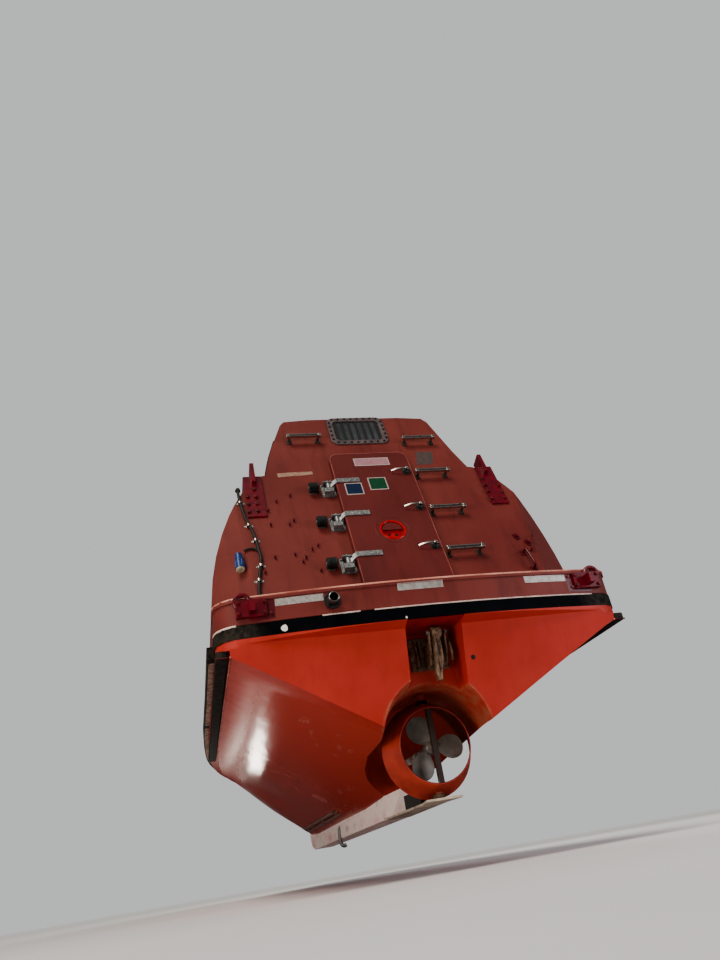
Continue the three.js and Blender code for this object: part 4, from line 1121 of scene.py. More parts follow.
def filmOn(name, node, corner, across, along, direction, columns, thick, finish, slotName, rows=2):
    # a film laid on a curved solid: a grid of lines is sent from the corner's plane onto it
    corner, across, along = Vector(corner), Vector(across), Vector(along)
    points, lifted, faces = [], [], []
    for i in range(rows + 1):
        for j in range(columns + 1):
            place, normal = touch(node, corner + across * (i / rows) + along * (j / columns), direction)
            lifted.append(tuple(place + normal * thick))
            points.append(tuple(place + normal * 0.0002))
    size, top = columns + 1, len(points)
    for i in range(rows):
        for j in range(columns):
            a, b, c, d = i * size + j, i * size + j + 1, (i + 1) * size + j + 1, (i + 1) * size + j
            faces.append((top + a, top + b, top + c, top + d))
            faces.append((d, c, b, a))
    rim = [(0, j) for j in range(size)] + [(i, columns) for i in range(1, rows + 1)]
    rim += [(rows, j) for j in range(columns - 1, -1, -1)] + [(i, 0) for i in range(rows - 1, 0, -1)]
    rim = [i * size + j for i, j in rim]
    faces += [(a, b, top + b, top + a) for a, b in zip(rim, rim[1:] + rim[:1])]
    makePiece(name, (points + lifted, faces), slotName, finish=finish)


# three silver tapes across the coaming, (port end, starboard end, foot, top)
coamingTapes = [(0.889, 0.620, 0.288, 0.330), (0.194, -0.080, 0.299, 0.341), (-0.600, -0.882, 0.290, 0.332)]
for number, (portEnd, starboardEnd, foot, top) in enumerate(coamingTapes, 1):
    filmOn(f"coamingTape{number}", "stern_coaming", (-4.0, portEnd, foot), (0, 0, top - foot),
           (0, starboardEnd - portEnd, 0), (1, 0, 0), 14, 0.0012, "tape", "canopy_gelcoat")
print("tapes made")

# Bolts on the brackets and the loose stubs on the aft face
boltRows = {
    "bracketBoltsPort": [(0.906, 0.873), (0.833, 0.925), (0.828, 0.869), (0.760, 0.925), (0.760, 0.870),
                         (0.685, 0.929), (0.688, 0.870)],
    "bracketBoltsStarboard": [(0.911, -0.823), (0.839, -0.823), (0.767, -0.823), (0.688, -0.823),
                              (0.824, -0.925), (0.752, -0.925), (0.688, -0.925)],
}
boltForm = {"across": 0.024, "height": 0.013, "washer": 0.019, "level": 0.0144}
for name, spots in boltRows.items():
    bolt = hexBolt(boltForm["across"], boltForm["height"], boltForm["washer"])
    # each head stands at its own angle
    bolts = [moved(bolt, Matrix.Translation((u, y, boltForm["level"])) @ Matrix.Rotation(u * 40, 4, "Z"))
             for u, y in spots]
    facePiece(name, bolts, "crimson_paint", "root", 0.0010, "bolt")

stubs = [(0.839, 0.634), (0.785, 0.735), (0.555, 0.674), (0.590, 0.641), (0.347, 0.518), (0.315, 0.561),
         (0.281, 0.677), (0.249, 0.611), (0.217, 0.635), (0.267, 0.806), (0.130, 0.534), (0.148, 0.883),
         (0.700, 0.800), (0.560, 0.800)]
stubForm = [(0.011, -0.001), (0.011, 0.002), (0.006, 0.003), (0.006, 0.014), (0.009, 0.015), (0.009, 0.020),
            (0.006, 0.022)]
stubParts = [shifted(turned(stubForm, 12), u, y, 0.0002) for u, y in stubs]
facePiece("faceStubs", stubParts, "crimson_paint", "root", 0.0006, "bolt")
print("bolts made")

# Exhaust: hollow stainless pipe through a dark flange in the coaming
exhaust = {
    "place": (-3.262, 0.575, 0.280), "outer": 0.030, "bore": 0.024, "length": 0.066,
    "flange": 0.048, "flangeThick": 0.006, "bolts": 4, "boltRing": 0.039,
}


def makeExhaust(look):
    at = pointing(look["place"], (-1, 0, 0))
    outer, bore, length = look["outer"], look["bore"], look["length"]
    pipe = ringed([(bore, 0.004), (outer, 0.004), (outer, length - 0.002), (outer - 0.002, length),
                   (bore + 0.001, length), (bore, length - 0.001)], 36)
    makePiece("exhaustPipe", moved(pipe, at), "stainless_steel", "root", 0.0006, stands=["exhaust_pipe"])
    # a black disc inside the bore: painted shade for the open pipe
    boreShade = turned([(bore - 0.0004, 0.005), (bore - 0.0004, 0.012), (0.002, 0.0125)], 28)
    makePiece("exhaustBore", moved(boreShade, at), "black_rubber", finish="hole")
    inner, rim, thick = outer + 0.0004, look["flange"], look["flangeThick"]
    flange = [(inner, 0.0), (rim, 0.0), (rim, thick - 0.001), (rim - 0.001, thick), (inner, thick)]
    parts = [ringed(flange, 36)]
    for step in range(look["bolts"]):
        angle = 2 * pi * (step + 0.5) / look["bolts"]
        spot = (look["boltRing"] * cos(angle), look["boltRing"] * sin(angle), thick)
        parts.append(moved(hexBolt(0.010, 0.005), Matrix.Translation(spot)))
    makePiece("exhaustFlange", moved(joined(parts), at), "plate_steel", "root", 0.0005, "darkBolt")


makeExhaust(exhaust)

# Round handle well in the door: bright red dish, a flap over its upper half, two finger holes
well = {
    "up": 0.411, "radius": 0.0775, "floor": 0.0184, "face": 0.0420, "lip": 0.090, "ring": 0.116,
    "ringHalf": 0.004,
    "flapDrop": 0.010, "flapThick": 0.006, "hinge": 0.0045, "hingeUp": 0.008,
    "holeRadius": 0.0115, "holes": ((-0.022, 0.026), (-0.030, -0.022)),
}


def makeWell(look):
    r, floor, face = look["radius"], look["floor"], look["face"]
    at = onFace(look["up"])
    points, faces = turned([(r - 0.0006, face - 0.001), (r - 0.0006, floor + 0.006),
                            (r - 0.006, floor + 0.0012), (0.002, floor + 0.001)], 48)
    # the dish is open at its rim
    makePiece("handleWellDish", moved((points, faces[:-2] + [faces[-1]]), at), "hull_gelcoat", "door",
              finish="redWell")
    lip = ringed([(r - 0.001, face + 0.0002), (look["lip"], face + 0.0002),
                  (look["lip"] - 0.003, face + 0.003), (r + 0.001, face + 0.002)], 48)
    makePiece("handleWellLip", moved(lip, at), "hull_gelcoat", "door", finish="redWell")
    ring, half = look["ring"], look["ringHalf"]
    bead = ringed([(ring - half, face + 0.0002), (ring + half, face + 0.0002), (ring, face + 0.003)], 56)
    makePiece("handleWellRing", moved(bead, at), "canopy_gelcoat", "door", finish="aft_door")
    # the finger holes are black cups: painted shade
    hole = look["holeRadius"]
    cup = turned([(hole, floor + 0.0012), (hole, floor + 0.0030), (hole * 0.7, floor + 0.0030),
                  (hole * 0.66, floor + 0.0016)], 18)
    holes = [shifted(cup, up, side, 0) for up, side in look["holes"]]
    makePiece("handleWellHoles", moved(joined(holes), at), "black_rubber", "door", finish="hole")
    # the flap hangs from a pin across the well and covers what is above it
    reach, back = r - 0.004, face - look["flapDrop"]
    outline = [(reach * sin(a), reach * cos(a)) for a in map(radians, range(6, 175, 6))]
    pin = moved(turned([(look["hinge"], -reach * 0.98), (look["hinge"], reach * 0.98)], 10),
                spun((look["hingeUp"], 0, face - 0.006), 90, "X"))
    flap = joined([prism(outline, back, back + look["flapThick"]), pin])
    makePiece("handleWellFlap", moved(flap, at), "canopy_gelcoat", "door", 0.0015, "aft_door")


makeWell(well)
print("exhaust and handle well made")

# Aft window: bolts round the ring, ribs over the pane
window = {
    "up": 1.548, "halfUp": 0.149, "halfSide": 0.213, "corner": 0.055, "level": 0.0122, "bolts": 26,
    "ribs": 7, "ribHalf": 0.010, "ribReach": 0.128, "ribSpread": 0.165, "ribBack": -0.0012, "ribOut": 0.0035,
    "sealUp": 0.133, "sealSide": 0.197, "sealCorner": 0.040, "seal": 0.004,
}


def makeWindow(look):
    up, halfUp, halfSide = look["up"], look["halfUp"], look["halfSide"]
    outline = roundedBox((up - halfUp, -halfSide), (up + halfUp, halfSide), look["corner"], 12)
    lengths = [0.0]
    for a, b in zip(outline, outline[1:] + outline[:1]):
        lengths.append(lengths[-1] + dist(a, b))
    bolts = []
    for step in range(look["bolts"]):
        target = lengths[-1] * (step + 0.5) / look["bolts"]
        index = max(i for i, length in enumerate(lengths[:-1]) if length <= target)
        a, b = outline[index], outline[(index + 1) % len(outline)]
        t = (target - lengths[index]) / max(dist(a, b), 1e-9)
        spot = (a[0] + (b[0] - a[0]) * t, a[1] + (b[1] - a[1]) * t, look["level"])
        bolts.append(moved(hexBolt(0.013, 0.006, 0.010), Matrix.Translation(spot)))
    facePiece("windowBolts", bolts, "grey_frame", "root", 0.0006, "darkBolt")
    ribs = []
    reach, half = look["ribReach"], look["ribHalf"]
    for step in range(look["ribs"]):
        side = look["ribSpread"] * (2 * step / (look["ribs"] - 1) - 1)
        ribs.append(plate(up, side, reach, half, 0.008, look["ribBack"], look["ribOut"]))
    facePiece("windowRibs", ribs, "window_glass", "root", 0.0012, "gasket")
    inner = roundedBox((up - look["sealUp"], -look["sealSide"]), (up + look["sealUp"], look["sealSide"]),
                       look["sealCorner"], 8)
    seal = swept([(u, y, 0.0008) for u, y in inner], circle(look["seal"], 8), True)
    facePiece("windowSeal", [seal], "black_rubber", finish="gasket")


makeWindow(window)

# Gasket under the door's edge, dark also as painted shade in the gap, and the door's edge itself, lighter
# partly by chalking and partly as painted highlight
doorRings = {
    # name: half width, foot, top, corner of the path, level, section, slot, finish
    "doorGasket": (0.286, -0.116, 1.216, 0.058, 0.0027,
                   [(-0.009, -0.0022), (0.009, -0.0022), (0.007, 0.0022), (-0.007, 0.0022)],
                   "black_rubber", "gasket"),
    "doorEdgeWornAndLit": (0.2935, -0.1245, 1.2245, 0.064, 0.0408,
                     [(-0.004, -0.002), (0.004, -0.002), (0.0028, 0.0021), (-0.0028, 0.0021)],
                     "canopy_gelcoat", "doorEdge"),
}
for name, (half, foot, top, corner, level, section, slotName, finish) in doorRings.items():
    path = [(u, y, level) for u, y in roundedBox((foot, -half), (top, half), corner, 8)]
    facePiece(name, [swept(path, section, True)], slotName, "door", finish=finish)
print("window and gasket made")

# Fixed cable down the port edge of the aft face, held by clips, and the shore plug that it feeds
cable = {
    "line": [(0.905, 0.985), (0.834, 0.984), (0.735, 0.974), (0.635, 0.960), (0.492, 0.922), (0.355, 0.904),
             (0.259, 0.896), (0.151, 0.914), (0.016, 0.934), (-0.060, 0.938)],
    "branch": [(0.330, 0.902), (0.350, 0.930), (0.352, 0.965), (0.338, 0.995)],
    "radius": 0.010, "out": 0.012,
    "clips": [(0.780, 0.980), (0.560, 0.944), (0.420, 0.912), (0.200, 0.902), (0.080, 0.926)],
    "clipHalf": 0.009, "clipFoot": 0.0006, "clipThick": 0.002, "clipInner": 0.0125, "clipReach": 0.030,
}


def makeCable(look):
    path = smoothPath([(u, y, look["out"]) for u, y in look["line"]], 6)
    parts = [swept(path, circle(look["radius"]))]
    branch = smoothPath([(u, y, look["out"] - 0.002) for u, y in look["branch"]], 5)
    parts.append(swept(branch, circle(look["radius"] * 0.7, 10)))
    gland = turned([(0.018, 0.0), (0.018, 0.012), (0.014, 0.020), (0.011, 0.026)], 16)
    parts.append(shifted(gland, 0.909, 0.985, 0.0004))
    facePiece("faceCable", parts, "black_rubber", finish="cable")
    # each clip is a strip bent over the cable, with a foot and a screw on both sides
    foot, thick, inner, reach = look["clipFoot"], look["clipThick"], look["clipInner"], look["clipReach"]
    top, outer = foot + thick, inner + thick
    angles = [pi * i / 10 for i in range(11)]
    clips = []
    for u, y in look["clips"]:
        under = [(y + inner * cos(a), look["out"] + (inner - 0.0007) * sin(a)) for a in angles]
        over = [(y + outer * cos(a), look["out"] + (outer - 0.0007) * sin(a)) for a in angles]
        loop = [(y + reach, foot), (y + reach, top), (y + outer, top)] + over
        loop += [(y - outer, top), (y - reach, top), (y - reach, foot), (y - inner, foot)] + under[::-1]
        loop.append((y + inner, foot))
        clips.append(moved(prism(loop, -look["clipHalf"], look["clipHalf"]), fromAft(u)))
        for dy in (-0.0225, 0.0225):
            head = turned([(0.005, 0.0), (0.005, 0.001), (0.003, 0.003)], 10)
            clips.append(shifted(head, u, y + dy, top))
    facePiece("faceCableClips", clips, "stainless_steel")


makeCable(cable)
plug = {
    "place": (-2.780, 1.011, 0.729), "out": (-0.78, 0.58, 0.22), "stand": 0.034, "radius": 0.029,
    "length": 0.135,
    "ribs": 12, "ribHalf": 0.003, "footHalf": 0.020,
}


def makePlug(look):
    out = Vector(look["out"]).normalized()
    down = (-faceUp - out * (-faceUp).dot(out)).normalized()
    middle = Vector(look["place"]) + out * look["stand"] - down * look["length"] * 0.5
    at = pointing(middle, down, out)
    r, length = look["radius"], look["length"]
    parts = [turned([(r * 0.55, 0.0), (r * 0.8, 0.004), (r * 0.82, length * 0.35), (r, length * 0.40),
                     (r, length * 0.82), (r * 1.06, length * 0.84), (r * 1.06, length * 0.90)], 28)]
    foot, half = r * 0.98, look["ribHalf"]
    rib = prism([(foot, half), (r * 1.08, 0.0), (foot, -half)], length * 0.44, length * 0.80)
    for step in range(look["ribs"]):
        parts.append(moved(rib, Matrix.Rotation(2 * pi * step / look["ribs"], 4, "Z")))
    makePiece("shorePlugBody", moved(joined(parts), at), "black_rubber", "root", 0.0008, "plug")
    cap = turned([(r * 0.98, length * 0.90), (r * 0.98, length * 0.96), (r * 0.7, length),
                  (r * 0.2, length * 1.005)], 24)
    makePiece("shorePlugCap", moved(cap, at), "black_rubber", "root", 0.001, "plugCap")
    half = look["footHalf"]
    foot = prism(roundedBox((-look["stand"], -half), (-r * 0.7, half), 0.004), length * 0.30, length * 0.70)
    makePiece("shorePlugBracket", moved(foot, at), "plate_steel", "root", 0.0012, "darkBolt")


makePlug(plug)
print("cable and plug made")

# Rolled lip along the top of the coaming, the beads over the fender, both pale as painted highlight, and
# crimson patches
stern = {"x": -3.200, "bow": 0.080, "corner": 0.160}


def sternLine(out, aft, endX, steps=40):
    # outline of the stern seen from above, from the port side round to starboard
    edge, corner, bow = stern["x"] - aft, stern["corner"], stern["bow"]
    half = [(endX, out)]
    for i in range(13):
        angle = pi / 2 * i / 12
        half.append((edge + corner * (1 - sin(angle)), out - corner * (1 - cos(angle))))
    reach = out - corner
    for i in range(1, steps):
        y = reach * (1 - i / steps)
        half.append((edge - bow * (1 - (y / reach) ** 2), y))
    return half + [(edge - bow, 0.0)] + [(x, -y) for x, y in reversed(half)]


beads = {
    # name: half breadth, aft, forward end, port end, starboard end, height, the section's half sizes, finish
    "coamingLip": (1.2230, 0.0010, -2.90, 1.30, -1.30, 0.3560, 0.008, 0.007, "lip"),
    # the pale fender beads are painted highlight, broken where shade fell across it
    "fenderBeadCorner": (1.2255, -0.0025, -3.02, 1.30, 1.09, 0.2035, 0.005, 0.006, "highlightBead"),
    "fenderBeadPort": (1.2255, -0.0025, -2.90, 0.66, 0.42, 0.2035, 0.005, 0.0045, "highlightBead"),
    "fenderBeadMiddle": (1.2255, -0.0025, -2.90, 0.36, -1.06, 0.2035, 0.005, 0.0045, "highlightBead"),
}


def makeBeads(rows):
    angles = [pi * i / 5 for i in range(10)]
    for name, (out, aft, endX, portEnd, starboardEnd, height, halfWidth, halfHeight, finish) in rows.items():
        line = [(x, y, height) for x, y in sternLine(out, aft, endX) if portEnd >= y >= starboardEnd]
        section = [(halfWidth * cos(a), halfHeight * sin(a)) for a in angles]
        makePiece(name, swept(line, section), "hull_gelcoat", finish=finish)


makeBeads(beads)

crimsonPatches = [("crimsonPatchPort", 1.030, 0.892, 0.222, 0.331),
                  ("crimsonPatchStarboard", -0.886, -1.050, 0.222, 0.331)]
for name, portEnd, starboardEnd, foot, top in crimsonPatches:
    filmOn(name, "stern_coaming", (-4.0, portEnd, foot), (0, 0, top - foot), (0, starboardEnd - portEnd, 0),
           (1, 0, 0), 8, 0.0006, "crimson", "crimson_paint")
patchBolts = []
for y, z in ((-0.905, 0.318), (-0.960, 0.315), (-0.918, 0.250), (0.912, 0.250), (0.960, 0.318)):
    at = pointing(*touch("stern_coaming", (-4, y, z), (1, 0, 0)))
    patchBolts.append(moved(hexBolt(0.016, 0.008, 0.013), at))
for side in (-1, 1):
    for y, z in ((0.948, 0.255), (1.092, 0.255), (0.948, 0.320), (1.092, 0.320)):
        patchBolts.append(moved(hexBolt(0.019, 0.010, 0.015), pointing((-3.2340, side * y, z), (-1, 0, 0))))
makePiece("coamingBolts", joined(patchBolts), "crimson_paint", "root", 0.0008, "bolt")
print("stern beads and patches made")


def blot(name, node, start, direction, size, seed, stretch=0.85, finish="splash"):
    # a spot of paint with a wandering edge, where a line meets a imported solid
    draw = random.Random(seed)
    radii = [size * draw.uniform(0.6, 1.0) for _ in range(9)]
    outline = []
    for step in range(36):
        at = step / 4
        a, b = radii[int(at) % 9], radii[(int(at) + 1) % 9]
        t = at - int(at)
        radius = a + (b - a) * t * t * (3 - 2 * t)
        angle = 2 * pi * step / 36
        outline.append((radius * cos(angle), radius * sin(angle) * stretch))
    at = pointing(*touch(node, start, direction))
    makePiece(name, moved(prism(outline, -0.001, 0.0015), at), "hull_gelcoat", "root", 0.0006, finish)


for name, y, z, size, seed in (("paintSplash1", 0.855, 0.158, 0.026, 4),
                               ("paintSplash2", 0.173, 0.140, 0.009, 9)):
    blot(name, "fender_stern", (-4, y, z), (1, 0, 0), size, seed)

# Transom drain screw
drain = turned([(0.013, -0.002), (0.013, 0.002), (0.010, 0.003), (0.002, 0.0032)], 18)
drainAt = pointing(*touch("hull_shell", (-4, -0.216, -0.087), (1, 0, 0)))
makePiece("transomDrain", moved(drain, drainAt), "plate_steel", "root", 0.0004, "darkBolt")
print("stern marks made")

# Launch skids: black rubber under the gunwale ledge, with a tan band of painted highlight along the fender
# that shields them
skids = {
    "aft": -3.170, "forward": 0.240, "inner": 1.1604, "outer": 1.226, "foot": 0.036, "top": 0.0814,
    "corner": 0.012, "edge": 0.004, "edgeFrom": 1.150, "footRadius": 0.0048,
    "sideFoot": [(-3.185, 1.150, 0.0405), (-2.900, 1.150, 0.0405), (-1.700, 1.152, 0.0405),
                 (0.0, 1.150, 0.0405),
                 (1.0, 1.092, 0.0405), (1.7, 0.972, 0.0405), (2.15, 0.852, 0.0405), (2.6, 0.682, 0.0485),
                 (2.95, 0.490, 0.0625)],
}


def makeSkids(look):
    edge = look["edge"]
    for side, name in bothSides:
        low, high = sorted((side * look["inner"], side * look["outer"]))
        slab = roundedBox((look["aft"], low), (look["forward"], high), look["corner"])
        makePiece(f"launchSkid{name}", prism(slab, look["foot"], look["top"]), "black_rubber", "root", 0.006,
                  stands=[f"launch_skid_{name.lower()}"])
        # a pale line along the side foot: painted highlight
        line = smoothPath([(x, side * y, z) for x, y, z in look["sideFoot"]], 6)
        makePiece(f"sideFoot{name}", swept(line, circle(look["footRadius"], 8)), "hull_gelcoat",
                  finish="paintedHighlightEdge")
        line = [(look["aft"] - edge, side * y, look["foot"] + edge)
                for y in (look["edgeFrom"], 1.170, 1.200, look["outer"])]
        makePiece(f"skidEndEdge{name}", swept(line, circle(edge, 8)), "crimson_paint", finish="crimson")


makeSkids(skids)

# tan band of painted highlight along each side fender
fenderSheen = {
    "from": -3.04, "to": 0.95, "steps": 120, "bands": 2, "height": 0.167, "ragged": 0.80,
    # distance in from the fender's side, height
    "section": [(0.046, 0.1293), (0.010, 0.1293), (0.003, 0.1322), (-0.0006, 0.1380)],
}


def makeFenderSheen(look):
    draw = random.Random(17)
    size = len(look["section"])
    for side, name in bothSides:
        edges = []
        for i in range(look["steps"] + 1):
            x = look["from"] + (look["to"] - look["from"]) * i / look["steps"]
            place = touch(f"fender_{name.lower()}", (x, side * 3, look["height"]), (0, -side, 0))[0]
            if place is not None:
                edges.append((x, abs(place.y)))
        length = len(edges) // look["bands"]
        parts = []
        for band in range(look["bands"]):
            first = band * length + draw.randint(0, 2)
            run = edges[first:(band + 1) * length + 1 - draw.randint(0, 1)]
            points = []
            for x, y in run:
                ragged = draw.uniform(look["ragged"], 1.0)
                for back, z in look["section"]:
                    points.append((x, side * (y - back * (ragged if back > 0.02 else 1.0)), z))
            corners = [i * size + j for i in range(len(run) - 1) for j in range(size - 1)]
            parts.append((points, [(a, a + 1, a + size + 1, a + size) for a in corners]))
        makePiece(f"fenderSheen{name}", joined(parts), "black_rubber", finish="fenderSheenTan")


makeFenderSheen(fenderSheen)
print("skids made")

# Propeller: three broad twisted blades on a boss with a nut
screw = {
    "hub": (-2.702, 0, -0.485), "pitch": 0.17, "rows": 14, "columns": 10, "from": 0.030, "tip": 0.1955,
    "turns": (213, 333, 93), "thick": 0.008, "wrap": 0.82, "rake": 0.10,
    # distance from the shaft, half breadth of the blade
    "widths": [(0.030, 0.024), (0.050, 0.038), (0.080, 0.068), (0.110, 0.088), (0.140, 0.094), (0.165, 0.086),
               (0.183, 0.066), (0.192, 0.040), (0.1955, 0.006)],
    "boss": [(0.004, -0.041), (0.012, -0.040), (0.015, -0.034), (0.021, -0.032), (0.024, -0.026),
             (0.034, -0.020), (0.040, 0.030), (0.039, 0.042), (0.022, 0.042)],
}


def between(rows, at):
    # value between the rows of (place, value) at a place
    for (p0, v0), (p1, v1) in zip(rows, rows[1:]):
        if at <= p1:
            return v0 + (v1 - v0) * max(0.0, (at - p0) / (p1 - p0))
    return rows[-1][1]


def makeScrew(look):
    rows, columns = look["rows"], look["columns"]
    blade = []
    for face in (-1, 1):
        for i in range(rows + 1):
            t = i / rows
            reach = look["from"] + (look["tip"] - look["from"]) * (1 - (1 - t) ** 1.6)
            pitch = atan2(look["pitch"], 2 * pi * reach)
            half = between(look["widths"], reach)
            for j in range(columns + 1):
                chord = (2 * j / columns - 1) * half
                thick = look["thick"] * (1 - 0.75 * t) * sqrt(max(0.0, 1 - (chord / half) ** 2 * 0.97)) / 2
                forward = chord * sin(pitch) + face * thick * cos(pitch)
                # blades wrap round the shaft and rake aft a little
                angle = look["wrap"] * (chord * cos(pitch) - face * thick * sin(pitch)) / reach
                blade.append((forward - look["rake"] * (reach - look["from"]), reach * sin(angle),
                              reach * cos(angle)))
    size, row = (rows + 1) * (columns + 1), columns + 1
    faces = []
    for i in range(rows):
        for j in range(columns):
            a = i * row + j
            faces.append((a, a + 1, a + row + 1, a + row))
            faces.append((size + a, size + a + row, size + a + row + 1, size + a + 1))
    rim = [i * row for i in range(rows + 1)] + [rows * row + j for j in range(1, columns + 1)]
    rim += [i * row + columns for i in range(rows - 1, -1, -1)] + list(range(columns - 1, 0, -1))
    faces += [(a, b, size + b, size + a) for a, b in zip(rim, rim[1:] + rim[:1])]
    parts = [moved((blade, faces), spun(look["hub"], turn, "X")) for turn in look["turns"]]
    nut = turned([(0.016, -0.040), (0.016, -0.028)], 6)
    parts.append(moved(joined([turned(look["boss"], 36), nut]), spun(look["hub"], 90, "Y")))
    makePiece("propellerBlades", joined(parts), "propeller_bronze", "screw", stands=["propeller"])


makeScrew(screw)

# Lower end of the nozzle: rusty knuckle over the sole plate; the collar of the upper pivot and the gussets
# are black as painted shade
nozzleAxis = Matrix.Translation((-2.690, 0, 0))
knuckle = turned([(0.020, -0.7610), (0.031, -0.7600), (0.034, -0.7540), (0.034, -0.7440), (0.028, -0.7380),
                  (0.022, -0.7330)], 28)
makePiece("nozzleKnuckle", moved(knuckle, nozzleAxis), "weathered_steel", "nozzle")
collar = turned([(0.023, -0.232), (0.036, -0.230), (0.036, -0.212), (0.023, -0.208)], 28)
makePiece("nozzleStockCollar", moved(collar, nozzleAxis), "plate_steel", "nozzle", 0.001, "paintedShadeDark")
soleOutline = [(-2.800, -0.107), (-2.720, -0.100), (-2.600, -0.080), (-1.640, -0.092), (-1.640, 0.092),
               (-2.600, 0.080), (-2.720, 0.100), (-2.800, 0.107)]
makePiece("solePlateFace", prism(soleOutline, -0.7800, -0.7672), "plate_steel", "root", 0.002, "solePaint",
          ["sole_plate"])
gusset = prism([(-2.555, -0.7665), (-2.180, -0.7665), (-2.180, -0.684), (-2.500, -0.690), (-2.555, -0.722)],
               -0.005, 0.005)
soleParts = [moved(gusset, fromSide(y=y)) for y in (-0.070, 0.0, 0.070)]
soleParts.append(prism(roundedBox((-2.560, -0.030), (-2.440, 0.030), 0.010), -0.7668, -0.7350))
makePiece("soleGussets", joined(soleParts), "plate_steel", "root", 0.0015, "paintedShadeDark")
print("propeller and lower pivot made")

# Release hook: knuckle on its pin, a ribbed lever with a toe, and the forged block behind them
hook = {
    "pin": (-3.110, 0.088), "side": -0.035, "knuckle": 0.031, "knuckleHalf": 0.029, "toe": -0.188,
    "leverHalf": 0.016, "rib": 0.0062, "ribIn": 0.007,
    # middle, foot and top of the slots in the lever
    "slots": ((-0.030, -0.052, 0.048), (-0.016, -0.140, -0.066)),
}


def makeHook(look):
    pinX, pinZ = look["pin"]
    side, half, r, toe = look["side"], look["knuckleHalf"], look["knuckle"], look["toe"]
    knuckle = turned([(r * 0.80, -half), (r, -half + 0.004), (r, -0.012), (r * 0.90, -0.009),
                      (r * 0.90, 0.009), (r, 0.012), (r, half - 0.004), (r * 0.80, half)], 28)
    # lever outline seen from aft: (y, z); the shank narrows to a blunt toe
    shank = [(side - 0.018, pinZ - 0.020), (side - 0.014, -0.060), (-0.026, -0.150), (-0.020, toe),
             (0.004, toe), (0.010, -0.150), (side + 0.032, -0.060), (side + 0.022, pinZ - 0.020)]
    toAft = fromAft(pinX + 0.006)
    parts = [moved(knuckle, spun((pinX, side, pinZ), -90, "X")),
             moved(prism(shank, -look["leverHalf"], look["leverHalf"]), toAft)]
    # raised ribs down both edges of the lever
    for corners, inward in ((shank[:4], look["ribIn"]), (shank[:3:-1], -look["ribIn"])):
        path = smoothPath([(pinX - 0.012, y + inward, z) for y, z in corners], 4)
        parts.append(swept(path, circle(look["rib"], 8)))
    # the slots are dark films on the lever: painted shade
    slots = [moved(prism(roundedBox((y - 0.0035, low), (y + 0.0035, high), 0.002), -0.0165, -0.0155), toAft)
             for y, low, high in look["slots"]]
    makePiece("hookSlots", joined(slots), "weathered_steel", "hook", finish="paintedShadeDark")
    tip = turned([(0.006, -0.008), (0.009, -0.006), (0.009, 0.004), (0.004, 0.008)], 12)
    parts.append(moved(tip, spun((pinX + 0.004, -0.006, toe + 0.012), 90, "Y")))
    makePiece("releaseHookLever", joined(parts), "weathered_steel", "hook", 0.0022, stands=["release_hook"])


makeHook(hook)
# the base: a plate, two cheeks with slender arms up to the pin, bolts, ribs and the curved trip arm
basePlate = prism(roundedBox((-0.132, -0.092), (0.100, 0.100), 0.006), 0.0, 0.0155)
cheek = prism([(-2.955, -0.085), (-3.050, -0.085), (-3.092, -0.020), (-3.100, 0.030), (-3.121, 0.080),
               (-3.119, 0.098), (-3.105, 0.103), (-3.094, 0.090), (-3.070, 0.036), (-2.955, 0.044)],
              0.0, 0.011)
baseParts = [moved(cheek, fromSide(y=y)) for y in (0.0025, -0.0935)]
baseParts.insert(0, moved(basePlate, fromAft(-2.9454, ahead=-1)))
makePiece("hookBase", joined(baseParts), "weathered_steel", "root", 0.002, stands=["release_hook_base"])
baseRib = prism(roundedBox((-0.004, -0.075), (0.004, 0.082), 0.002), 0.0, 0.030)
baseParts = [moved(hexBolt(0.019, 0.010, 0.014), pointing((-2.9610, y, z), (-1, 0, 0)))
             for y in (-0.118, 0.088) for z in (-0.078, 0.005, 0.086)]
baseParts += [moved(baseRib, fromAft(-2.9610, y, -1)) for y in (0.040, 0.064)]
makePiece("hookBaseBolts", joined(baseParts), "weathered_steel", "root", 0.001)
tripArm = smoothPath([(-2.962, -0.110, 0.070), (-3.020, -0.112, 0.078), (-3.070, -0.114, 0.040),
                      (-3.085, -0.116, -0.020), (-3.060, -0.118, -0.072)], 6)
makePiece("hookTripArm", swept(tripArm, [(-0.006, -0.010), (0.006, -0.010), (0.006, 0.010), (-0.006, 0.010)]),
          "weathered_steel", "root", 0.0015)
pinEnds = [turned([(0.004, -0.104), (0.013, -0.103), (0.013, -0.094), (0.004, -0.0935)], 18),
           turned([(0.004, 0.0145), (0.013, 0.015), (0.013, 0.024), (0.004, 0.025)], 18)]
makePiece("hookPinEnds", moved(joined(pinEnds), spun((-3.110, 0, 0.088), -90, "X")), "galvanised_steel",
          "root", 0.0008)
# the recess ceiling, in a redder gelcoat as painted light from below
ceiling = prism([(-3.266, -0.1684), (-2.9460, -0.1684), (-2.9460, 0.1684), (-3.266, 0.1684)], 0.1270, 0.1294)
makePiece("recessCeiling", ceiling, "hull_gelcoat", finish="deck")
print("hook made")

# Keel cooler: two pipes along the hull bottom on brackets, and the lug hanging from the keel
cooler = {"from": -0.31, "length": 2.0, "spots": 12, "brackets": (0, 4, 8, 11), "lanes": (0.168, 0.206),
          "radius": 0.0115, "off": 0.013, "below": -1.2}


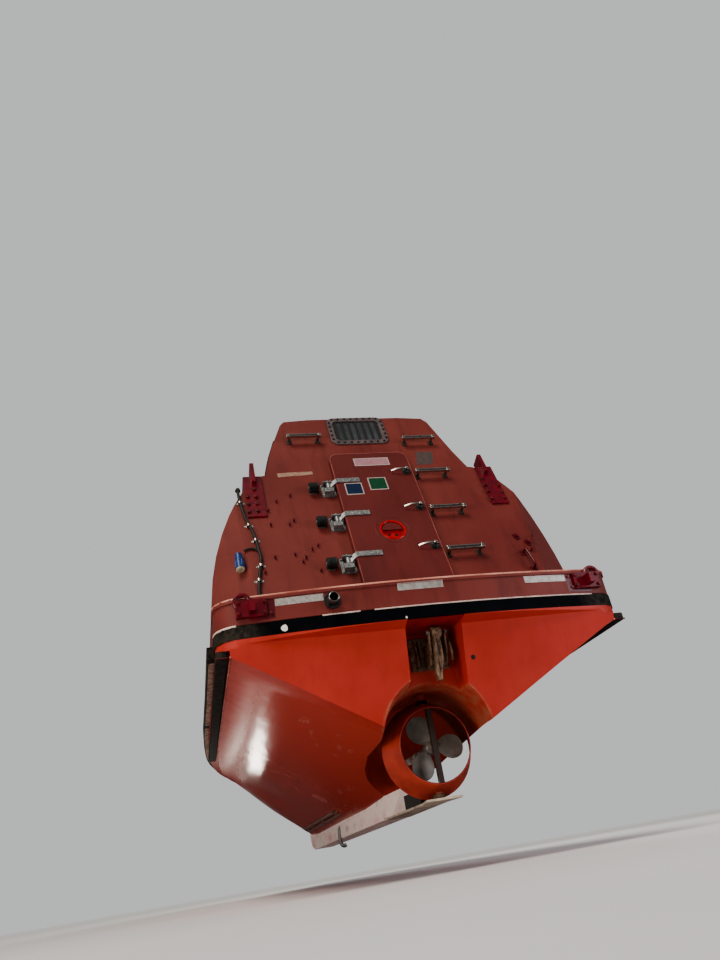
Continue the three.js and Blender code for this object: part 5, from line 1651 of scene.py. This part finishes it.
def makeCooler(look):
    strapPlate = plate(0, 0, 0.014, 0.038, 0.004, 0.018, 0.026)
    stem = plate(0, 0, 0.010, 0.008, 0.002, -0.002, 0.020)
    for side, name in bothSides:
        spots = []
        for i in range(look["spots"]):
            x = look["from"] + look["length"] * i / (look["spots"] - 1)
            hits = [touch("hull_shell", (x, side * y, look["below"]), (0, 0, 1)) for y in look["lanes"]]
            spots.append([place + normal * look["off"] for place, normal in hits])
        parts = [swept(list(lane), circle(look["radius"], 10)) for lane in zip(*spots)]
        for i in look["brackets"]:
            middle = (spots[i][0] + spots[i][1]) / 2
            place, normal = touch("hull_shell", (middle.x, middle.y, look["below"]), (0, 0, 1))
            parts.append(moved(joined([strapPlate, stem]), pointing(place, normal, (1, 0, 0))))
        makePiece(f"keelCooler{name}", joined(parts), "plate_steel", "root", 0.0008, "cooler")


makeCooler(cooler)
lug = smoothPath([(0.152, 0.106, -0.690), (0.152, 0.109, -0.760), (0.152, 0.108, -0.800),
                  (0.150, 0.098, -0.828), (0.146, 0.078, -0.838), (0.142, 0.060, -0.830)], 6)
lugPlate = prism(roundedBox((0.128, -0.735), (0.176, -0.672), 0.006), 0.1004, 0.1075)
makePiece("keelLug", joined([swept(lug, circle(0.0165, 14)), moved(lugPlate, fromSide())]),
          "galvanised_steel", "root", 0.001)
blot("hullScuff", "hull_shell", (-0.52, 0.345, -1.2), (0, 0, 1), 0.085, 23, 1.5, "scar")
print("keel fittings made")

# Silver tapes down both sides of the canopy, (aft end, length)
sideTapes = [(-2.50, 0.30), (-1.30, 0.30), (-0.10, 0.30), (1.05, 0.28)]
for side, name in bothSides:
    for number, (x, length) in enumerate(sideTapes, 1):
        filmOn(f"sideTape{name}{number}", "canopy_shell", (x, side * 3, 0.880), (0, 0, 0.050), (length, 0, 0),
               (0, -side, 0), 8, 0.0010, "tape", "canopy_gelcoat")

# Handrails along the roof shoulders, each on turned feet
rails = {
    "spots": (-0.85, -0.38, 0.10, 0.58, 1.05), "side": 0.60, "narrows": 0.030, "height": 0.066, "bar": 0.0125,
    "foot": [(0.030, -0.002), (0.030, 0.003), (0.024, 0.006), (0.010, 0.008), (0.010, 0.066)],
    "boltRing": 0.024,
    # steps forward and down at both ends
    "aftEnd": [(-0.055, 0, -0.020), (-0.035, 0, -0.004)],
    "forwardEnd": [(0.035, 0, -0.008), (0.055, 0, -0.026)],
}


def makeRails(look):
    for side, name in bothSides:
        line, parts = [], []
        for x in look["spots"]:
            y = side * (look["side"] - look["narrows"] * (x - look["spots"][0]) ** 2)
            place, normal = touch("canopy_shell", (x, y, 3), (0, 0, -1))
            line.append(place + normal * look["height"])
            at = pointing(place, normal, (1, 0, 0))
            parts.append(moved(turned(look["foot"], 20), at))
            for turn in map(radians, (30, 150, 270)):
                spot = (look["boltRing"] * cos(turn), look["boltRing"] * sin(turn), 0.004)
                parts.append(moved(hexBolt(0.007, 0.003), at @ Matrix.Translation(spot)))
        line = [line[0] + Vector(end) for end in look["aftEnd"]] + line
        line += [line[-1] + Vector(end) for end in look["forwardEnd"]]
        parts.append(swept(smoothPath(line, 8), circle(look["bar"], 14)))
        makePiece(f"roofRail{name}", joined(parts), "stainless_steel")


makeRails(rails)

# Roof hatch: rubber seal, two hinges at its aft edge, a lift grip
hatch = {
    "x": 0.330, "foot": 1.5502, "top": 1.5862, "sealHalf": 0.311, "sealCorner": 0.056,
    "axis": (-0.006, 1.567),
    "hinges": (-0.18, 0.18), "bolts": (0.032, 0.066), "armHalf": 0.015, "armTop": 0.0045, "grip": 0.19,
    # the grip's line: across, above the hatch
    "gripLine": [(-0.075, 0.001), (-0.070, 0.026), (-0.050, 0.036), (0.050, 0.036), (0.070, 0.026),
                 (0.075, 0.001)],
}


def makeHatch(look):
    x, half, top = look["x"], look["sealHalf"], look["top"]
    over = top + look["armTop"]
    outline = roundedBox((x - half, -half), (x + half, half), look["sealCorner"], 8)
    section = [(-0.008, -0.0018), (0.008, -0.0018), (0.008, 0.0018), (-0.008, 0.0018)]
    seal = swept([(a, b, look["foot"] - 0.0022) for a, b in outline], section, True)
    makePiece("hatchSeal", seal, "black_rubber", "hatch", finish="gasket")
    axisX, axisZ = look["axis"]
    arm = [(axisX + 0.004, axisZ + 0.0035), (axisX + 0.002, axisZ + 0.008), (0.010, over), (0.085, over),
           (0.085, top + 0.0002), (0.012, top + 0.0002), (0.004, axisZ + 0.006), (0.0036, axisZ + 0.0035)]
    middle = turned([(0.0075, -0.0160), (0.0085, -0.0150), (0.0085, 0.0150), (0.0075, 0.0160)], 16)
    end = turned([(0.0075, -0.0100), (0.0085, -0.0090), (0.0085, 0.0090), (0.0075, 0.0100)], 16)
    foot = prism(roundedBox((-0.010, 1.486), (0.010, axisZ - 0.004), 0.003), -0.0005, 0.0105)
    leaves, fixed = [], []
    for y in look["hinges"]:
        leaves.append(moved(middle, spun((axisX, y, axisZ), -90, "X")))
        leaves.append(moved(prism(arm, -look["armHalf"], look["armHalf"]), fromSide(y=y)))
        leaves += [shifted(hexBolt(0.011, 0.005), bolt, y, over) for bolt in look["bolts"]]
        for side in (y - 0.033, y + 0.033):
            fixed += [moved(end, spun((axisX, side, axisZ), -90, "X")),
                      moved(foot, fromAft(0.0098, side, -1))]
    makePiece("hatchHingeLeaves", joined(leaves), "stainless_steel", "hatch", 0.0008)
    makePiece("hatchHingeFeet", joined(fixed), "stainless_steel", "root", 0.0008)
    line = [(x + look["grip"], y, top + rise) for y, rise in look["gripLine"]]
    parts = [swept(smoothPath(line, 6), circle(0.007, 12))]
    for gripX, y, _ in (line[0], line[-1]):
        rose = turned([(0.017, 0.0002), (0.017, 0.003), (0.008, 0.004)], 18)
        parts.append(shifted(rose, gripX, y, top))
    makePiece("hatchGrip", joined(parts), "stainless_steel", "hatch")


makeHatch(hatch)

# Foot bolts of the forward lifting brackets
for side, name in bothSides:
    parts = [shifted(hexBolt(0.024, 0.013, 0.018), x, side * y, 1.2618)
             for x, y in ((1.205, 0.516), (1.205, 0.604), (1.495, 0.516), (1.495, 0.604), (1.350, 0.604))]
    makePiece(f"forwardBracketBolts{name}", joined(parts), "crimson_paint", "root", 0.0008, "bolt")

# Rubber seals round the tower windows, and the position lamp on the tower roof
towerSide = roundedBox((-2.342, 1.628), (-1.688, 1.912), 0.030, 5)
towerFront = roundedBox((-0.412, 1.628), (0.412, 1.942), 0.030, 5)
sealRings = {
    # name: outline on a plane beside the tower, direction of the lines onto the tower
    "towerSealPort": ([(a, 3.0, b) for a, b in towerSide], (0, -1, 0)),
    "towerSealStarboard": ([(a, -3.0, b) for a, b in towerSide], (0, 1, 0)),
    "towerSealFront": ([(1.0, a, b) for a, b in towerFront], (-1, 0, 0)),
}


def makeSealRings(rows):
    for name, (outline, direction) in rows.items():
        line = []
        for a, b in zip(outline, outline[1:] + outline[:1]):
            for step in range(4):
                place, normal = touch("canopy_shell", Vector(a).lerp(Vector(b), step / 4), direction)
                if place is not None and (not line or (place - line[-1]).length > 0.002):
                    line.append(place + normal * 0.0035)
        makePiece(name, swept(line, circle(0.0105, 10), True), "black_rubber", finish="gasket")


makeSealRings(sealRings)
lampAt = pointing(*touch("canopy_shell", (-1.98, 0.0, 3), (0, 0, -1)), (1, 0, 0))
lampBase = turned([(0.046, -0.001), (0.046, 0.010), (0.038, 0.014), (0.036, 0.018)], 32)
makePiece("positionLampBase", moved(lampBase, lampAt), "black_rubber", "root", 0.001, "cable")
lampLens = turned([(0.032, 0.018), (0.032, 0.034), (0.028, 0.044), (0.018, 0.051), (0.004, 0.053)], 32)
makePiece("positionLampLens", moved(lampLens, lampAt), "window_glass", finish="lens")

# Small crimson fittings by the starboard edge of the aft face
grabs = {
    "pads": ((0.307, -0.867), (0.243, -0.931)), "feet": ((0.155, -0.859), (0.008, -0.878)),
    # lines of the grab bar and of the rod: up, side, out
    "bar": [(0.155, -0.859, 0.001), (0.152, -0.860, 0.040), (0.130, -0.863, 0.052), (0.034, -0.874, 0.052),
            (0.012, -0.877, 0.040), (0.008, -0.878, 0.001)],
    "rod": [(0.300, -0.985, 0.001), (0.292, -0.975, 0.030), (0.262, -0.955, 0.036), (0.205, -0.935, 0.034),
            (0.176, -0.926, 0.026), (0.168, -0.923, 0.001)],
}


def makeGrabs(look):
    pad = joined([plate(0, 0, 0.026, 0.016, 0.006, 0.0004, 0.008),
                  shifted(hexBolt(0.018, 0.012, 0.0), 0, 0, 0.008)])
    parts = [moved(pad, onFace(up, side, 0, 20)) for up, side in look["pads"]]
    parts.append(moved(swept(smoothPath(look["bar"], 6), circle(0.009, 12)), onFace()))
    foot = plate(0, 0, 0.022, 0.022, 0.006, 0.0004, 0.005)
    parts += [moved(foot, onFace(up, side)) for up, side in look["feet"]]
    parts.append(moved(swept(smoothPath(look["rod"], 6), circle(0.006, 10)), onFace()))
    makePiece("starboardGrabs", joined(parts), "crimson_paint", "root", 0.001, "crimson")


makeGrabs(grabs)
print("roof and side fittings made")
